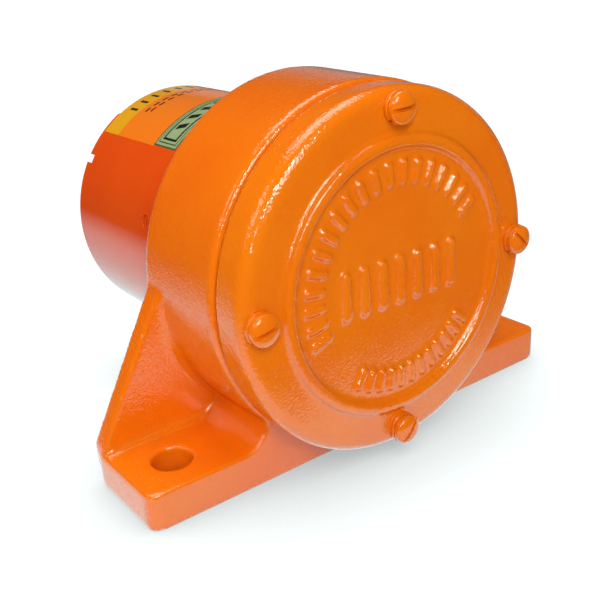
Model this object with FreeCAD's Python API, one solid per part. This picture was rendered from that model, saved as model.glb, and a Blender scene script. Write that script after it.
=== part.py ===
# Foot-mounted electric vibration motor: a cast housing on a two-bolt foot carries an eccentric
# weight between two bearings, driven by a brushed series motor in a round steel can behind it.
# Millimetres. +X across the foot, -Y towards the round cover, +Z up. The origin is the middle
# of the two foot bolts on the underside. The shaft runs along Y at the height axis_height.
import FreeCAD, Part
import math
import os

from FreeCAD import Vector

# ---- driving dimensions ----
# foot and housing casting
foot_length = 180.0
foot_depth = 40.0
foot_thickness = 13.0
foot_corner = 4.0
bolt_hole_radius = 6.75
bolt_end_margin = 17.0
bolt_face_margin = 16.0
axis_height = 64.0
barrel_depth = 41.0
barrel_step = 0.8
barrel_draft = 0.7
barrel_front_bevel = 1.0
barrel_rear_bevel = 1.5
neck_half_width = 44.6
neck_root_radius = 11.0
web_thickness = 8.0
web_toe_height = 2.0
web_corner = 6.0
web_top_above_axis = 1.5
web_edge_round = 1.6
web_root_round = 3.5
rear_wall = 9.0
can_register = 3.0
boss_wall = 5.5

# round cover, its gasket, screws and lock washers
cover_radius = 61.0
cover_depth = 14.2
cover_wall = 6.0
cover_edge_round = 4.4
cover_back_bevel = 0.8
bead_screw_gap = 2.3
bead_half_width = 2.5
bead_height = 2.4
bead_slope = 1.1
cover_rib_thickness = 5.0
cover_rib_height = 4.0
gasket_thickness = 0.8
gasket_inset = 1.2
spigot_depth = 3.0
spigot_wall = 5.0
screw_count = 4
screw_edge_distance = 6.1
screw_radius = 2.75
screw_hole_wall = 3.9
screw_hole_gap = 0.4
screw_grip = 12.0
screw_head_radius = 5.2
screw_head_side = 2.0
screw_head_crown = 1.6
screw_crown_radius = 3.2
screw_slot_width = 1.4
screw_slot_depth = 1.7
screw_slot_angles = [4.0, 12.0, 50.0, 135.0]
lock_washer_rim = 0.2
lock_washer_thickness = 1.5
lock_washer_gap = 1.2
lock_washer_gap_angle = 150.0

# rotor shaft
front_journal_radius = 7.5
main_journal_radius = 8.5
shoulder_step = 2.0
core_seat_radius = 8.0
commutator_seat_radius = 7.0
tail_journal_radius = 5.0
shaft_end_recess = 0.6
shaft_chamfer = 0.6

# eccentric weight with its key and set screw
weight_tip_gap = 4.0
weight_side_gap = 2.5
weight_hub_radius = 17.0
weight_chord_drop = 4.0
weight_corner_round = 4.0
key_width = 5.0
key_height = 5.0
key_end_margin = 2.0
set_screw_radius = 2.5
set_screw_socket = 1.25

# main bearing in the housing wall, its circlip and the spacer in front of it
main_bearing_radius = 20.0
main_bearing_width = 12.0
main_roller_radius = 3.0
main_roller_length = 7.6
bearing_lip = 3.0
lip_shaft_gap = 2.0
circlip_thickness = 1.75
circlip_groove = 1.2
circlip_height = 2.6
circlip_land = 1.5
circlip_gap_angle = 40.0
spacer_wall = 2.6

# front bearing in the cover
front_bearing_radius = 17.5
front_bearing_width = 11.0
front_roller_radius = 2.5
front_roller_length = 6.6

# inside both roller bearings
roller_count = 10
race_clearance = 0.03
race_lip = 1.1
roller_end_gap = 0.1
cage_pocket_gap = 0.15
cage_wall = 1.0

# motor can
can_radius = 48.5
can_length = 82.0
can_wall = 3.0
can_step = 0.8
can_fit_gap = 0.05
notch_count = 4
notch_width = 5.0
notch_depth = 5.5
notch_angle = 57.5

# field: laminated core, two coils, two pole screws
motor_front_space = 10.0
yoke_thickness = 7.5
coil_window = 6.5
coil_gap = 0.4
coil_overhang = 6.0
coil_half_angle = 57.0
coil_end_round = 3.0
pole_axis_angle = 75.0
pole_half_width = 13.0
pole_shoe = 4.5
pole_shoe_half_angle = 60.0
pole_screw_radius = 2.0
pole_screw_length = 9.0
pole_screw_recess = 0.8
pole_slot_width = 0.8
pole_slot_depth = 1.2
air_gap = 0.6

# armature
slot_count = 12
slot_depth = 9.0
slot_width = 4.4
slot_mouth = 1.8
slot_mouth_depth = 1.8
slot_liner = 0.2
winding_overhang = 6.0
winding_bore_gap = 1.0

# commutator and brush gear
commutator_drop = 9.35
commutator_gap = 1.0
commutator_riser = 1.6
commutator_riser_length = 2.5
commutator_bar_share = 0.5
commutator_track = 10.5
bar_count = 24
bar_slit = 0.5
brush_width = 8.0
brush_thickness = 9.0
brush_length = 11.0
brush_face_gap = 0.05
brush_side_gap = 0.1
holder_wall = 1.2
holder_face_gap = 2.0
holder_can_gap = 2.5
brush_plate_thickness = 2.5
brush_plate_rim_gap = 1.5
brush_plate_bore_gap = 3.0
brush_travel = 3.0
spring_wire = 0.8
spring_turns = 3
spring_radius = 2.9
spring_seat_gap = 0.05
plate_screw_radius = 1.5
plate_screw_head_radius = 2.8
plate_screw_head_height = 1.8
plate_screw_grip = 4.0
plate_screw_edge = 7.5
plate_screw_angle = 90.0

# end cap, through bolts, tail bush and cord inlet
cap_thickness = 7.0
cap_web = 4.0
cap_rim = 6.0
cap_pad_margin = 1.6
cap_fit_gap = 0.05
cap_boss_wall = 5.0
cap_boss_end = 2.0
cap_rib_thickness = 4.0
cap_rib_drop = 1.0
cap_rib_count = 6
tail_bush_wall = 3.5
tail_bush_length = 8.0
tail_bush_recess = 1.0
journal_gap = 0.03
thrust_washer_thickness = 1.0
thrust_washer_rim = 2.5
bolt_radius = 2.5
bolt_field_gap = 2.45
bolt_angle = 335.0
bolt_grip = 5.0
bolt_head_radius = 4.6
bolt_head_height = 3.4
bolt_hole_gap = 0.4
inlet_radius = 4.0
inlet_wall = 2.6
inlet_lip = 1.8
inlet_lip_rim = 2.2
inlet_edge = 14.5
inlet_angle = 225.0

# how far a cutting or joining solid runs past the face it works on
overrun = 1.0

# ---- sizes worked out from them ----
shaft_point = Vector(0, 0, axis_height)
face_y = -bolt_face_margin
foot_rear_y = face_y + foot_depth
rear_y = face_y + barrel_depth
bolt_x = foot_length / 2 - bolt_end_margin
barrel_front_radius = cover_radius + barrel_step
barrel_rear_radius = barrel_front_radius + barrel_draft
screw_circle = cover_radius - screw_edge_distance
cavity_radius = screw_circle - screw_radius - screw_hole_wall
bead_outer = screw_circle - screw_head_radius - lock_washer_rim - bead_screw_gap
bead_radius = bead_outer - bead_half_width

cover_rear_y = face_y - gasket_thickness
cover_front_y = cover_rear_y - cover_depth
cover_floor_y = cover_front_y + cover_wall
front_bearing_y = [cover_floor_y, cover_floor_y + front_bearing_width]

main_bearing_y = [rear_y - bearing_lip - main_bearing_width, rear_y - bearing_lip]
circlip_y = [main_bearing_y[0] - circlip_thickness, main_bearing_y[0]]
boss_front_y = circlip_y[0] - circlip_land
boss_radius = main_bearing_radius + boss_wall
weight_y = [front_bearing_y[1] + weight_side_gap, boss_front_y - weight_side_gap]
weight_radius = cavity_radius - weight_tip_gap
shoulder_radius = main_journal_radius + shoulder_step
lip_radius = shoulder_radius + lip_shaft_gap

can_front_y = rear_y - can_register
can_rear_y = rear_y + can_length
can_inner = can_radius - can_wall
can_bore_rear = can_inner + can_step
commutator_length = commutator_riser_length + commutator_track
holder_depth = brush_thickness + 2 * brush_side_gap + 2 * holder_wall
brush_gear_length = winding_overhang + commutator_gap + commutator_riser_length
brush_gear_length += commutator_track / 2 + holder_depth / 2 + brush_plate_thickness
cap_front_y = can_rear_y - notch_depth - cap_boss_end - tail_bush_length - tail_bush_recess
core_y = [rear_y + motor_front_space, cap_front_y - brush_gear_length]
commutator_y0 = core_y[1] + winding_overhang + commutator_gap
commutator_y = [commutator_y0, commutator_y0 + commutator_length]
brush_y = commutator_y[0] + commutator_riser_length + commutator_track / 2
plate_front_y = cap_front_y - brush_plate_thickness
tail_bush_y = [cap_front_y + tail_bush_recess, cap_front_y + tail_bush_recess + tail_bush_length]
tail_bush_radius = tail_journal_radius + journal_gap + tail_bush_wall

yoke_radius = can_inner - can_fit_gap
yoke_bore = yoke_radius - yoke_thickness
shoe_radius = yoke_bore - coil_window
pole_bore = shoe_radius - pole_shoe
armature_radius = pole_bore - air_gap
commutator_radius = armature_radius - commutator_drop
commutator_bar_depth = (commutator_radius - commutator_seat_radius) * commutator_bar_share
bolt_circle = yoke_bore - bolt_radius - bolt_field_gap
plate_screw_circle = can_inner - plate_screw_edge
inlet_circle = can_inner - inlet_edge
holder_z = [commutator_radius + holder_face_gap, can_inner - holder_can_gap]
brush_z = [commutator_radius + brush_face_gap, commutator_radius + brush_face_gap + brush_length]
cap_radius = can_bore_rear - cap_fit_gap
cap_rear_y = cap_front_y + cap_thickness
cap_boss_radius = tail_bush_radius + cap_boss_wall
winding_bore = shoulder_radius + winding_bore_gap
winding_radius = armature_radius - slot_mouth_depth - slot_liner
washer_y = [tail_bush_y[0] - journal_gap - thrust_washer_thickness, tail_bush_y[0] - journal_gap]
main_bearing = {"outer": main_bearing_radius, "bore": main_journal_radius, "y": main_bearing_y,
                "roller": main_roller_radius, "length": main_roller_length,
                "pitch": (main_bearing_radius + main_journal_radius) / 2}
front_bearing = {"outer": front_bearing_radius, "bore": front_journal_radius, "y": front_bearing_y,
                 "roller": front_roller_radius, "length": front_roller_length,
                 "pitch": (front_bearing_radius + front_journal_radius) / 2}

screw_angles = [360.0 / screw_count * index for index in range(screw_count)]
bolt_angles = [bolt_angle, bolt_angle - 180.0]
web_front_y = foot_rear_y - web_thickness
pole_angles = [pole_axis_angle, pole_axis_angle + 180.0]
plate_screw_angles = [plate_screw_angle, plate_screw_angle + 180.0]
core_middle_y = (core_y[0] + core_y[1]) / 2
pole_screw_foot_z = axis_height + can_radius - pole_screw_recess - pole_screw_length
inlet_lip_radius = inlet_radius + inlet_wall + inlet_lip_rim


# ---- construction helpers ----
def around(radius, angle, y):
    # a point about the shaft; the angle runs from the top towards -X
    turn = math.radians(angle)
    return Vector(-radius * math.sin(turn), y, axis_height + radius * math.cos(turn))


def cylinder_y(radius, y_span, centre_x=0.0, centre_z=axis_height):
    base = Vector(centre_x, y_span[0], centre_z)
    return Part.makeCylinder(radius, y_span[1] - y_span[0], base, Vector(0, 1, 0))


def tube_y(outer, inner, y_span):
    return cylinder_y(outer, y_span).cut(cylinder_y(inner, y_span))


def corner_arc(before, corner, after, radius):
    # the arc that rounds one corner of an outline, with its two tangent points
    to_before = (before - corner).normalize()
    to_after = (after - corner).normalize()
    half = to_before.getAngle(to_after) / 2
    start = corner + to_before * (radius / math.tan(half))
    end = corner + to_after * (radius / math.tan(half))
    middle = (to_before + to_after).normalize()
    top = corner + middle * (radius / math.sin(half) - radius)
    return start, top, end


def outline(corners, place):
    # a closed face through corners (u, v) or (u, v, rounding radius)
    points = [place(corner[0], corner[1]) for corner in corners]
    edges = []
    starts = []
    ends = []
    for index, corner in enumerate(corners):
        here = points[index]
        starts.append(here)
        ends.append(here)
        if len(corner) > 2 and corner[2] > 0:
            arc = corner_arc(points[index - 1], here, points[(index + 1) % len(points)], corner[2])
            edges.append(Part.Arc(arc[0], arc[1], arc[2]).toShape())
            starts[index] = arc[0]
            ends[index] = arc[2]
    for index in range(len(points)):
        following = starts[(index + 1) % len(points)]
        if ends[index].distanceToPoint(following) > 1e-6:
            edges.append(Part.makeLine(ends[index], following))
    return Part.Face(Part.Wire(Part.__sortEdges__(edges)))


def turned(corners):
    # a ring or disc turned about the shaft from an outline of (radius, y) corners
    face = outline(corners, lambda radius, y: Vector(radius, y, axis_height))
    return face.revolve(shaft_point, Vector(0, 1, 0), 360)


def plate_xz(corners, y_span):
    # a flat piece cut to an outline of (x, z) corners
    face = outline(corners, lambda x, z: Vector(x, y_span[0], z))
    return face.extrude(Vector(0, y_span[1] - y_span[0], 0))


def sector(corners, middle_angle, half_angle):
    # an outline of (radius, y) corners swept part of the way round the shaft
    face = outline(corners, lambda radius, y: around(radius, middle_angle - half_angle, y))
    return face.revolve(shaft_point, Vector(0, -1, 0), 2 * half_angle)


def ring_corners(inner, outer, y_span):
    return [(inner, y_span[0]), (outer, y_span[0]), (outer, y_span[1]), (inner, y_span[1])]


def spun(shape, angle):
    # the same shape carried round the shaft, from the top towards -X
    copy = shape.copy()
    copy.rotate(shaft_point, Vector(0, -1, 0), angle)
    return copy


def block(x_span, y_span, z_span):
    corner = Vector(x_span[0], y_span[0], z_span[0])
    return Part.makeBox(x_span[1] - x_span[0], y_span[1] - y_span[0], z_span[1] - z_span[0], corner)


def upright(width, y_span, r_span):
    # a block above the shaft, centred across it, from one radius to another
    heights = [axis_height + r_span[0], axis_height + r_span[1]]
    return block([-width / 2, width / 2], y_span, heights)


def fused(shapes):
    return shapes[0].multiFuse(shapes[1:]).removeSplitter()


def cut_all(shape, tools):
    return shape.cut(Part.makeCompound(tools))


def mirrored_pair(shape):
    return [shape, shape.mirror(Vector(0, 0, 0), Vector(1, 0, 0))]


def save(shapes, name):
    shape = Part.makeCompound(shapes) if isinstance(shapes, list) else shapes
    shape.exportStep("parts/" + name + ".step")


# ---- housing and cover ----
def barrel_radius_at(y):
    return barrel_front_radius + barrel_draft * (y - face_y) / barrel_depth


def foot_block():
    return block([-foot_length / 2, foot_length / 2], [face_y, foot_rear_y], [0, foot_thickness])


def foot_plan():
    # the rounded plan that trims the ends of the foot and the toes of the webs
    half = foot_length / 2
    corners = [(-half, face_y, foot_corner), (half, face_y, foot_corner),
               (half, foot_rear_y, web_corner), (-half, foot_rear_y, web_corner)]
    face = outline(corners, lambda x, y: Vector(x, y, 0))
    return face.extrude(Vector(0, 0, axis_height + barrel_rear_radius))


def neck_block():
    # narrower than the barrel, with a wide hollow root on the foot at each side
    reach = neck_half_width + neck_root_radius
    half = [(reach, foot_thickness / 2), (reach, foot_thickness),
            (neck_half_width, foot_thickness, neck_root_radius), (neck_half_width, axis_height)]
    other = [(-corner[0],) + corner[1:] for corner in reversed(half)]
    return plate_xz(half + other, [face_y, foot_rear_y])


def web_prism(y_span):
    # gusset outline, from the end of the foot up to the side of the barrel
    top_x = math.sqrt(barrel_front_radius ** 2 - web_top_above_axis ** 2)
    top_z = axis_height + web_top_above_axis
    inner_x = neck_half_width - web_root_round
    return plate_xz([(inner_x, foot_thickness / 2), (foot_length / 2, foot_thickness / 2),
                     (foot_length / 2, foot_thickness + web_toe_height),
                     (top_x, top_z), (inner_x, top_z)], y_span)


def side_web():
    web = web_prism([web_front_y, foot_rear_y])
    sloping = [edge for edge in web.Edges
               if edge.BoundBox.XLength > web_thickness and edge.BoundBox.ZLength > web_thickness]
    return web.makeFillet(web_edge_round, sloping)


def web_root_edges(body):
    # where the front of each web meets the foot, the neck and its hollow root
    found = []
    for edge in body.Edges:
        box = edge.BoundBox
        on_front = abs(box.YMin - web_front_y) < 1e-4 and abs(box.YMax - web_front_y) < 1e-4
        on_foot = abs(box.ZMax - foot_thickness) < 1e-4
        on_neck = abs(edge.CenterOfMass.x) < neck_half_width + neck_root_radius
        rising = foot_thickness - 1e-4 < box.ZMin and box.ZMin < axis_height - 1e-4
        low = edge.CenterOfMass.z < axis_height - web_root_round
        if on_front and rising and low and (on_foot or on_neck):
            found.append(edge)
    return found


def web_barrel_root():
    # the hollow where the front of a web runs into the barrel
    low_y = web_front_y - web_root_round
    inner = barrel_radius_at(low_y) - overrun
    corner = barrel_radius_at(web_front_y)
    ring = turned([(inner, low_y), (barrel_radius_at(low_y), low_y), (corner, web_front_y, web_root_round),
                   (corner + web_root_round, web_front_y), (corner + web_root_round, web_front_y + overrun),
                   (inner, web_front_y + overrun)])
    return ring.common(web_prism([low_y - overrun, web_front_y + overrun]))


def housing_casting():
    feet = fused([foot_block(), neck_block()] + mirrored_pair(side_web()))
    feet = feet.makeFillet(web_root_round, web_root_edges(feet)).common(foot_plan())
    barrel = turned([(0, face_y), (barrel_front_radius - barrel_front_bevel, face_y),
                     (barrel_front_radius, face_y + barrel_front_bevel),
                     (barrel_rear_radius, rear_y - barrel_rear_bevel),
                     (barrel_rear_radius - barrel_rear_bevel, rear_y), (0, rear_y)])
    return fused([feet, barrel] + mirrored_pair(web_barrel_root()))


def housing_hollow():
    # weight chamber, bearing boss and shaft hole in one turned outline
    floor_y = rear_y - rear_wall
    return turned([(0, face_y - overrun), (cavity_radius, face_y - overrun),
                   (cavity_radius, floor_y), (boss_radius, floor_y),
                   (boss_radius, boss_front_y), (main_bearing_radius, boss_front_y),
                   (main_bearing_radius, main_bearing_y[1]), (lip_radius, main_bearing_y[1]),
                   (lip_radius, rear_y + overrun), (0, rear_y + overrun)])


def housing():
    cuts = [housing_hollow()]
    cuts.append(cylinder_y(main_bearing_radius + circlip_groove, circlip_y))
    cuts.append(cylinder_y(can_radius + can_fit_gap, [can_front_y, rear_y + overrun]))
    for angle in screw_angles:
        centre = around(screw_circle, angle, face_y)
        span = [face_y - overrun, face_y + screw_grip + overrun]
        cuts.append(cylinder_y(screw_radius, span, centre.x, centre.z))
    for angle in bolt_angles:
        centre = around(bolt_circle, angle, can_front_y)
        cuts.append(cylinder_y(bolt_radius, [can_front_y - bolt_grip, rear_y], centre.x, centre.z))
    for side in (-1, 1):
        base = Vector(side * bolt_x, 0, -1.0)
        cuts.append(Part.makeCylinder(bolt_hole_radius, foot_thickness + 2.0, base))
    return cut_all(housing_casting(), cuts)


def cover_bead():
    half = bead_half_width
    return [(bead_radius - half, cover_front_y),
            (bead_radius - half + bead_slope, cover_front_y - bead_height),
            (bead_radius + half - bead_slope, cover_front_y - bead_height),
            (bead_radius + half, cover_front_y)]


def front_cover():
    # dished casting: beaded face outside, spigot, bearing boss and ribs inside
    spigot = cavity_radius - can_fit_gap
    pocket = spigot - spigot_wall
    spigot_y = cover_rear_y + spigot_depth
    boss = front_bearing_radius + boss_wall
    cover = turned([(0, cover_front_y)] + cover_bead() +
                   [(cover_radius, cover_front_y, cover_edge_round),
                    (cover_radius, cover_rear_y - cover_back_bevel),
                    (cover_radius - cover_back_bevel, cover_rear_y), (spigot, cover_rear_y),
                    (spigot, spigot_y), (pocket, spigot_y),
                    (pocket, cover_floor_y), (boss, cover_floor_y),
                    (boss, front_bearing_y[1]), (front_bearing_radius, front_bearing_y[1]),
                    (front_bearing_radius, cover_floor_y), (0, cover_floor_y)])
    rib = upright(cover_rib_thickness, [cover_floor_y - overrun, cover_floor_y + cover_rib_height],
                  [boss - overrun, pocket + overrun])
    half_step = 180.0 / screw_count
    cover = fused([cover] + [spun(rib, angle + half_step) for angle in screw_angles])
    holes = []
    for angle in screw_angles:
        centre = around(screw_circle, angle, cover_front_y)
        span = [cover_front_y - overrun, cover_rear_y + overrun]
        holes.append(cylinder_y(screw_radius + screw_hole_gap, span, centre.x, centre.z))
    return cut_all(cover, holes)


def cover_gasket():
    span = [cover_rear_y, face_y]
    ring = tube_y(cover_radius - gasket_inset, cavity_radius + can_fit_gap, span)
    holes = []
    for angle in screw_angles:
        centre = around(screw_circle, angle, face_y)
        holes.append(cylinder_y(screw_radius + screw_hole_gap, span, centre.x, centre.z))
    return cut_all(ring, holes)


def slotted_screw(shank_end_y, seat_y, angle):
    # pan head with a sloping crown, standing on its seat and pointing towards +Y
    head_y = seat_y - screw_head_side
    crown_y = head_y - screw_head_crown
    screw = turned([(0, crown_y), (screw_crown_radius, crown_y), (screw_head_radius, head_y),
                    (screw_head_radius, seat_y), (screw_radius, seat_y), (screw_radius, shank_end_y),
                    (0, shank_end_y)])
    reach = screw_head_radius + overrun
    slot = block([-reach, reach], [crown_y - overrun, crown_y + screw_slot_depth],
                 [axis_height - screw_slot_width / 2, axis_height + screw_slot_width / 2])
    return screw.cut(spun(slot, angle))


def cover_screws():
    screws = []
    seat_y = cover_front_y - lock_washer_thickness
    for angle, slot_angle in zip(screw_angles, screw_slot_angles):
        screw = slotted_screw(face_y + screw_grip, seat_y, slot_angle)
        screw.translate(around(screw_circle, angle, 0) - shaft_point)
        screws.append(screw)
    return screws


def lock_washers():
    # split spring washers under the heads
    span = [cover_front_y - lock_washer_thickness, cover_front_y]
    outer = screw_head_radius + lock_washer_rim
    ring = tube_y(outer, screw_radius + screw_hole_gap, span)
    split = upright(lock_washer_gap, span, [0, outer + overrun])
    ring = ring.cut(spun(split, lock_washer_gap_angle))
    washers = []
    for angle in screw_angles:
        washer = ring.copy()
        washer.translate(around(screw_circle, angle, 0) - shaft_point)
        washers.append(washer)
    return washers


# ---- rotor shaft and eccentric weight ----
def rotor_shaft():
    # stepped: front journal, weight seat, shoulder, core seat, commutator seat, tail journal
    steps = [(front_journal_radius, front_bearing_y[0] + shaft_end_recess, front_bearing_y[1]),
             (main_journal_radius, front_bearing_y[1], main_bearing_y[1]),
             (shoulder_radius, main_bearing_y[1], core_y[0]),
             (core_seat_radius, core_y[0], commutator_y[0]),
             (commutator_seat_radius, commutator_y[0], washer_y[0]),
             (tail_journal_radius, washer_y[0], tail_bush_y[1])]
    corners = [(0, steps[0][1]), (steps[0][0] - shaft_chamfer, steps[0][1]),
               (steps[0][0], steps[0][1] + shaft_chamfer)]
    for index, (radius, start, end) in enumerate(steps):
        if index > 0:
            corners.append((radius, start))
        if index < len(steps) - 1:
            corners.append((radius, end))
    corners += [(tail_journal_radius, tail_bush_y[1] - shaft_chamfer),
                (tail_journal_radius - shaft_chamfer, tail_bush_y[1]), (0, tail_bush_y[1])]
    return turned(corners).cut(weight_key())


def key_span():
    return [weight_y[0] + key_end_margin, weight_y[1] - key_end_margin]


def key_radii():
    return [main_journal_radius - key_height / 2, main_journal_radius + key_height / 2]


def weight_key():
    return upright(key_width, key_span(), key_radii())


def eccentric_weight():
    # half disc hanging from a keyed hub, its corners rounded
    disc = cylinder_y(weight_radius, weight_y)
    chord_z = axis_height - weight_chord_drop
    reach = weight_radius + overrun
    above = block([-reach, reach], [weight_y[0] - overrun, weight_y[1] + overrun],
                  [chord_z, axis_height + reach])
    half = disc.cut(above)
    corners = [edge for edge in half.Edges
               if edge.BoundBox.XLength < 1e-3 and edge.BoundBox.ZLength < 1e-3]
    half = half.makeFillet(weight_corner_round, corners)
    weight = fused([half, cylinder_y(weight_hub_radius, weight_y)])
    middle = (weight_y[0] + weight_y[1]) / 2
    screw_hole = Part.makeCylinder(set_screw_radius, weight_hub_radius, Vector(0, middle, axis_height))
    return cut_all(weight, [cylinder_y(main_journal_radius, weight_y), weight_keyway(), screw_hole])


def weight_keyway():
    # cut right through, so that the weight slides over the fitted key
    return upright(key_width, [weight_y[0] - overrun, weight_y[1] + overrun], [0, key_radii()[1]])


def hex_prism(across_flats, height, base, direction):
    radius = across_flats / math.sqrt(3)
    points = []
    for index in range(7):
        turn = math.radians(60 * index)
        points.append(Vector(radius * math.cos(turn), radius * math.sin(turn), 0))
    prism = Part.Face(Part.makePolygon(points)).extrude(Vector(0, 0, height))
    prism.Placement = FreeCAD.Placement(base, FreeCAD.Rotation(Vector(0, 0, 1), direction))
    return prism


def radial_set_screw(r_span, y):
    # headless screw with a hexagon socket, standing above the shaft
    length = r_span[1] - r_span[0]
    base = Vector(0, y, axis_height + r_span[0])
    screw = Part.makeCylinder(set_screw_radius, length, base)
    socket_depth = length / 2
    socket_foot = base + Vector(0, 0, length - socket_depth)
    socket = hex_prism(set_screw_socket * 2, socket_depth + overrun, socket_foot, Vector(0, 0, 1))
    return screw.cut(socket)


def weight_set_screw():
    middle = (weight_y[0] + weight_y[1]) / 2
    return radial_set_screw([key_radii()[1], weight_hub_radius], middle)


def bearing_spacer():
    return tube_y(main_journal_radius + spacer_wall, main_journal_radius, [weight_y[1], main_bearing_y[0]])


# ---- bearings ----
def roller_track(bearing):
    middle = (bearing["y"][0] + bearing["y"][1]) / 2
    half = bearing["length"] / 2 + roller_end_gap
    return [middle - half, middle + half]


def outer_ring(bearing):
    # ribs at both sides keep the rollers in the track
    track = roller_track(bearing)
    race = bearing["pitch"] + bearing["roller"] + race_clearance
    groove = tube_y(race, bearing["pitch"], track)
    return tube_y(bearing["outer"], race - race_lip, bearing["y"]).cut(groove)


def inner_ring(bearing, rib):
    # with a rib at each side it also holds the shaft endways
    track = roller_track(bearing)
    race = bearing["pitch"] - bearing["roller"] - race_clearance
    groove = tube_y(bearing["pitch"], race, track)
    return tube_y(race + rib, bearing["bore"], bearing["y"]).cut(groove)


def rollers(bearing):
    track = roller_track(bearing)
    span = [track[0] + roller_end_gap, track[1] - roller_end_gap]
    found = []
    for index in range(roller_count):
        centre = around(bearing["pitch"], 360.0 / roller_count * index, 0)
        found.append(cylinder_y(bearing["roller"], span, centre.x, centre.z))
    return found


def roller_cage(bearing):
    track = roller_track(bearing)
    pitch = bearing["pitch"]
    half = bearing["roller"] - race_lip - race_clearance
    ring = tube_y(pitch + half, pitch - half, [track[0] - cage_wall, track[1] + cage_wall])
    pocket = upright(2 * (bearing["roller"] + cage_pocket_gap), track,
                     [pitch - half - overrun, pitch + half + overrun])
    return cut_all(ring, [spun(pocket, 360.0 / roller_count * index) for index in range(roller_count)])


def main_bearing_outer_ring():
    return outer_ring(main_bearing)


def main_bearing_inner_ring():
    return inner_ring(main_bearing, race_lip)


def main_bearing_rollers():
    return rollers(main_bearing)


def main_bearing_cage():
    return roller_cage(main_bearing)


def bearing_circlip():
    # internal retaining ring in the groove in front of the main bearing, open at the bottom
    outer = main_bearing_radius + circlip_groove - race_clearance
    return sector(ring_corners(outer - circlip_height, outer, circlip_y), 0, 180.0 - circlip_gap_angle / 2)


def front_bearing_outer_ring():
    return outer_ring(front_bearing)


def front_bearing_inner_ring():
    return inner_ring(front_bearing, 0)


def front_bearing_rollers():
    return rollers(front_bearing)


def front_bearing_cage():
    return roller_cage(front_bearing)


# ---- motor can and field ----
def motor_can():
    # drawn tube with a stepped rear bore for the end cap and notches in its rim
    can = turned([(can_inner, can_front_y), (can_radius, can_front_y), (can_radius, can_rear_y),
                  (can_bore_rear, can_rear_y), (can_bore_rear, cap_front_y), (can_inner, cap_front_y)])
    notch = upright(notch_width, [can_rear_y - notch_depth, can_rear_y + overrun],
                    [can_inner - overrun, can_radius + overrun])
    cuts = [spun(notch, notch_angle + 360.0 / notch_count * index) for index in range(notch_count)]
    for angle in pole_angles:
        centre = Vector(0, core_middle_y, axis_height)
        hole = Part.makeCylinder(pole_screw_radius, can_radius + overrun, centre)
        cuts.append(spun(hole, angle))
    return cut_all(can, cuts)


def field_core():
    # laminated yoke with two pole shoes on one axis
    yoke = tube_y(yoke_radius, yoke_bore, core_y)
    parts = [yoke]
    cuts = []
    for angle in pole_angles:
        neck = upright(2 * pole_half_width, core_y, [shoe_radius - overrun, yoke_bore + overrun])
        parts.append(spun(neck, angle))
        parts.append(sector(ring_corners(pole_bore, shoe_radius, core_y), angle, pole_shoe_half_angle))
        foot = Vector(0, core_middle_y, pole_screw_foot_z)
        hole = Part.makeCylinder(pole_screw_radius, pole_screw_length, foot)
        cuts.append(spun(hole, angle))
    return cut_all(fused(parts), cuts)


def field_coil(angle):
    # racetrack winding wrapped round one pole
    span = [core_y[0] - coil_overhang, core_y[1] + coil_overhang]
    pad = sector(ring_corners(shoe_radius + coil_gap, yoke_bore - coil_gap, span), 0, coil_half_angle)
    pad_corners = [edge for edge in pad.Edges if edge.BoundBox.YLength < 1e-3
                   and edge.Curve.TypeId == "Part::GeomLine"]
    pad = pad.makeFillet(coil_end_round, pad_corners)
    window = upright(2 * (pole_half_width + coil_gap), [core_y[0] - coil_gap, core_y[1] + coil_gap],
                     [pole_bore, can_radius])
    return spun(pad.cut(window), angle)


def field_coil_left():
    return field_coil(pole_angles[0])


def field_coil_right():
    return field_coil(pole_angles[1])


def pole_screws():
    # headless screws through the can wall into the poles
    screws = []
    for angle in pole_angles:
        length = can_radius - pole_screw_recess - (pole_screw_foot_z - axis_height)
        base = Vector(0, core_middle_y, pole_screw_foot_z)
        screw = Part.makeCylinder(pole_screw_radius, length, base)
        slot = block([-pole_screw_radius - overrun, pole_screw_radius + overrun],
                     [core_middle_y - pole_slot_width / 2, core_middle_y + pole_slot_width / 2],
                     [base.z + length - pole_slot_depth, base.z + length + overrun])
        screws.append(spun(screw.cut(slot), angle))
    return screws


# ---- armature ----
def slot_angles():
    return [360.0 / slot_count * index for index in range(slot_count)]


def armature_core():
    # stack of toothed laminations
    core = tube_y(armature_radius, core_seat_radius, core_y)
    body = upright(slot_width, core_y, [armature_radius - slot_depth, armature_radius - slot_mouth_depth])
    mouth_foot = armature_radius - slot_mouth_depth - overrun
    mouth = upright(slot_mouth, core_y, [mouth_foot, armature_radius + overrun])
    slot = fused([body, mouth])
    return cut_all(core, [spun(slot, angle) for angle in slot_angles()])


def armature_winding():
    # bars in the slots joined by a bundle of end turns at each end of the core
    pieces = [tube_y(winding_radius, winding_bore, [core_y[0] - winding_overhang, core_y[0] - slot_liner]),
              tube_y(winding_radius, winding_bore, [core_y[1] + slot_liner, core_y[1] + winding_overhang])]
    bar = upright(slot_width - 2 * slot_liner, [core_y[0] - overrun, core_y[1] + overrun],
                  [armature_radius - slot_depth + slot_liner, winding_radius - overrun])
    pieces += [spun(bar, angle) for angle in slot_angles()]
    return fused(pieces)


def commutator_bars():
    # copper segments with risers next to the winding, a slit between each two
    inner = commutator_radius - commutator_bar_depth
    riser_y = commutator_y[0] + commutator_riser_length
    profile = [(inner, commutator_y[0]), (commutator_radius + commutator_riser, commutator_y[0]),
               (commutator_radius + commutator_riser, riser_y), (commutator_radius, riser_y),
               (commutator_radius, commutator_y[1]), (inner, commutator_y[1])]
    half = 180.0 / bar_count - math.degrees(bar_slit / 2 / commutator_radius)
    return [sector(profile, 360.0 / bar_count * index, half) for index in range(bar_count)]


def commutator_hub():
    return tube_y(commutator_radius - commutator_bar_depth, commutator_seat_radius, commutator_y)


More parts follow.
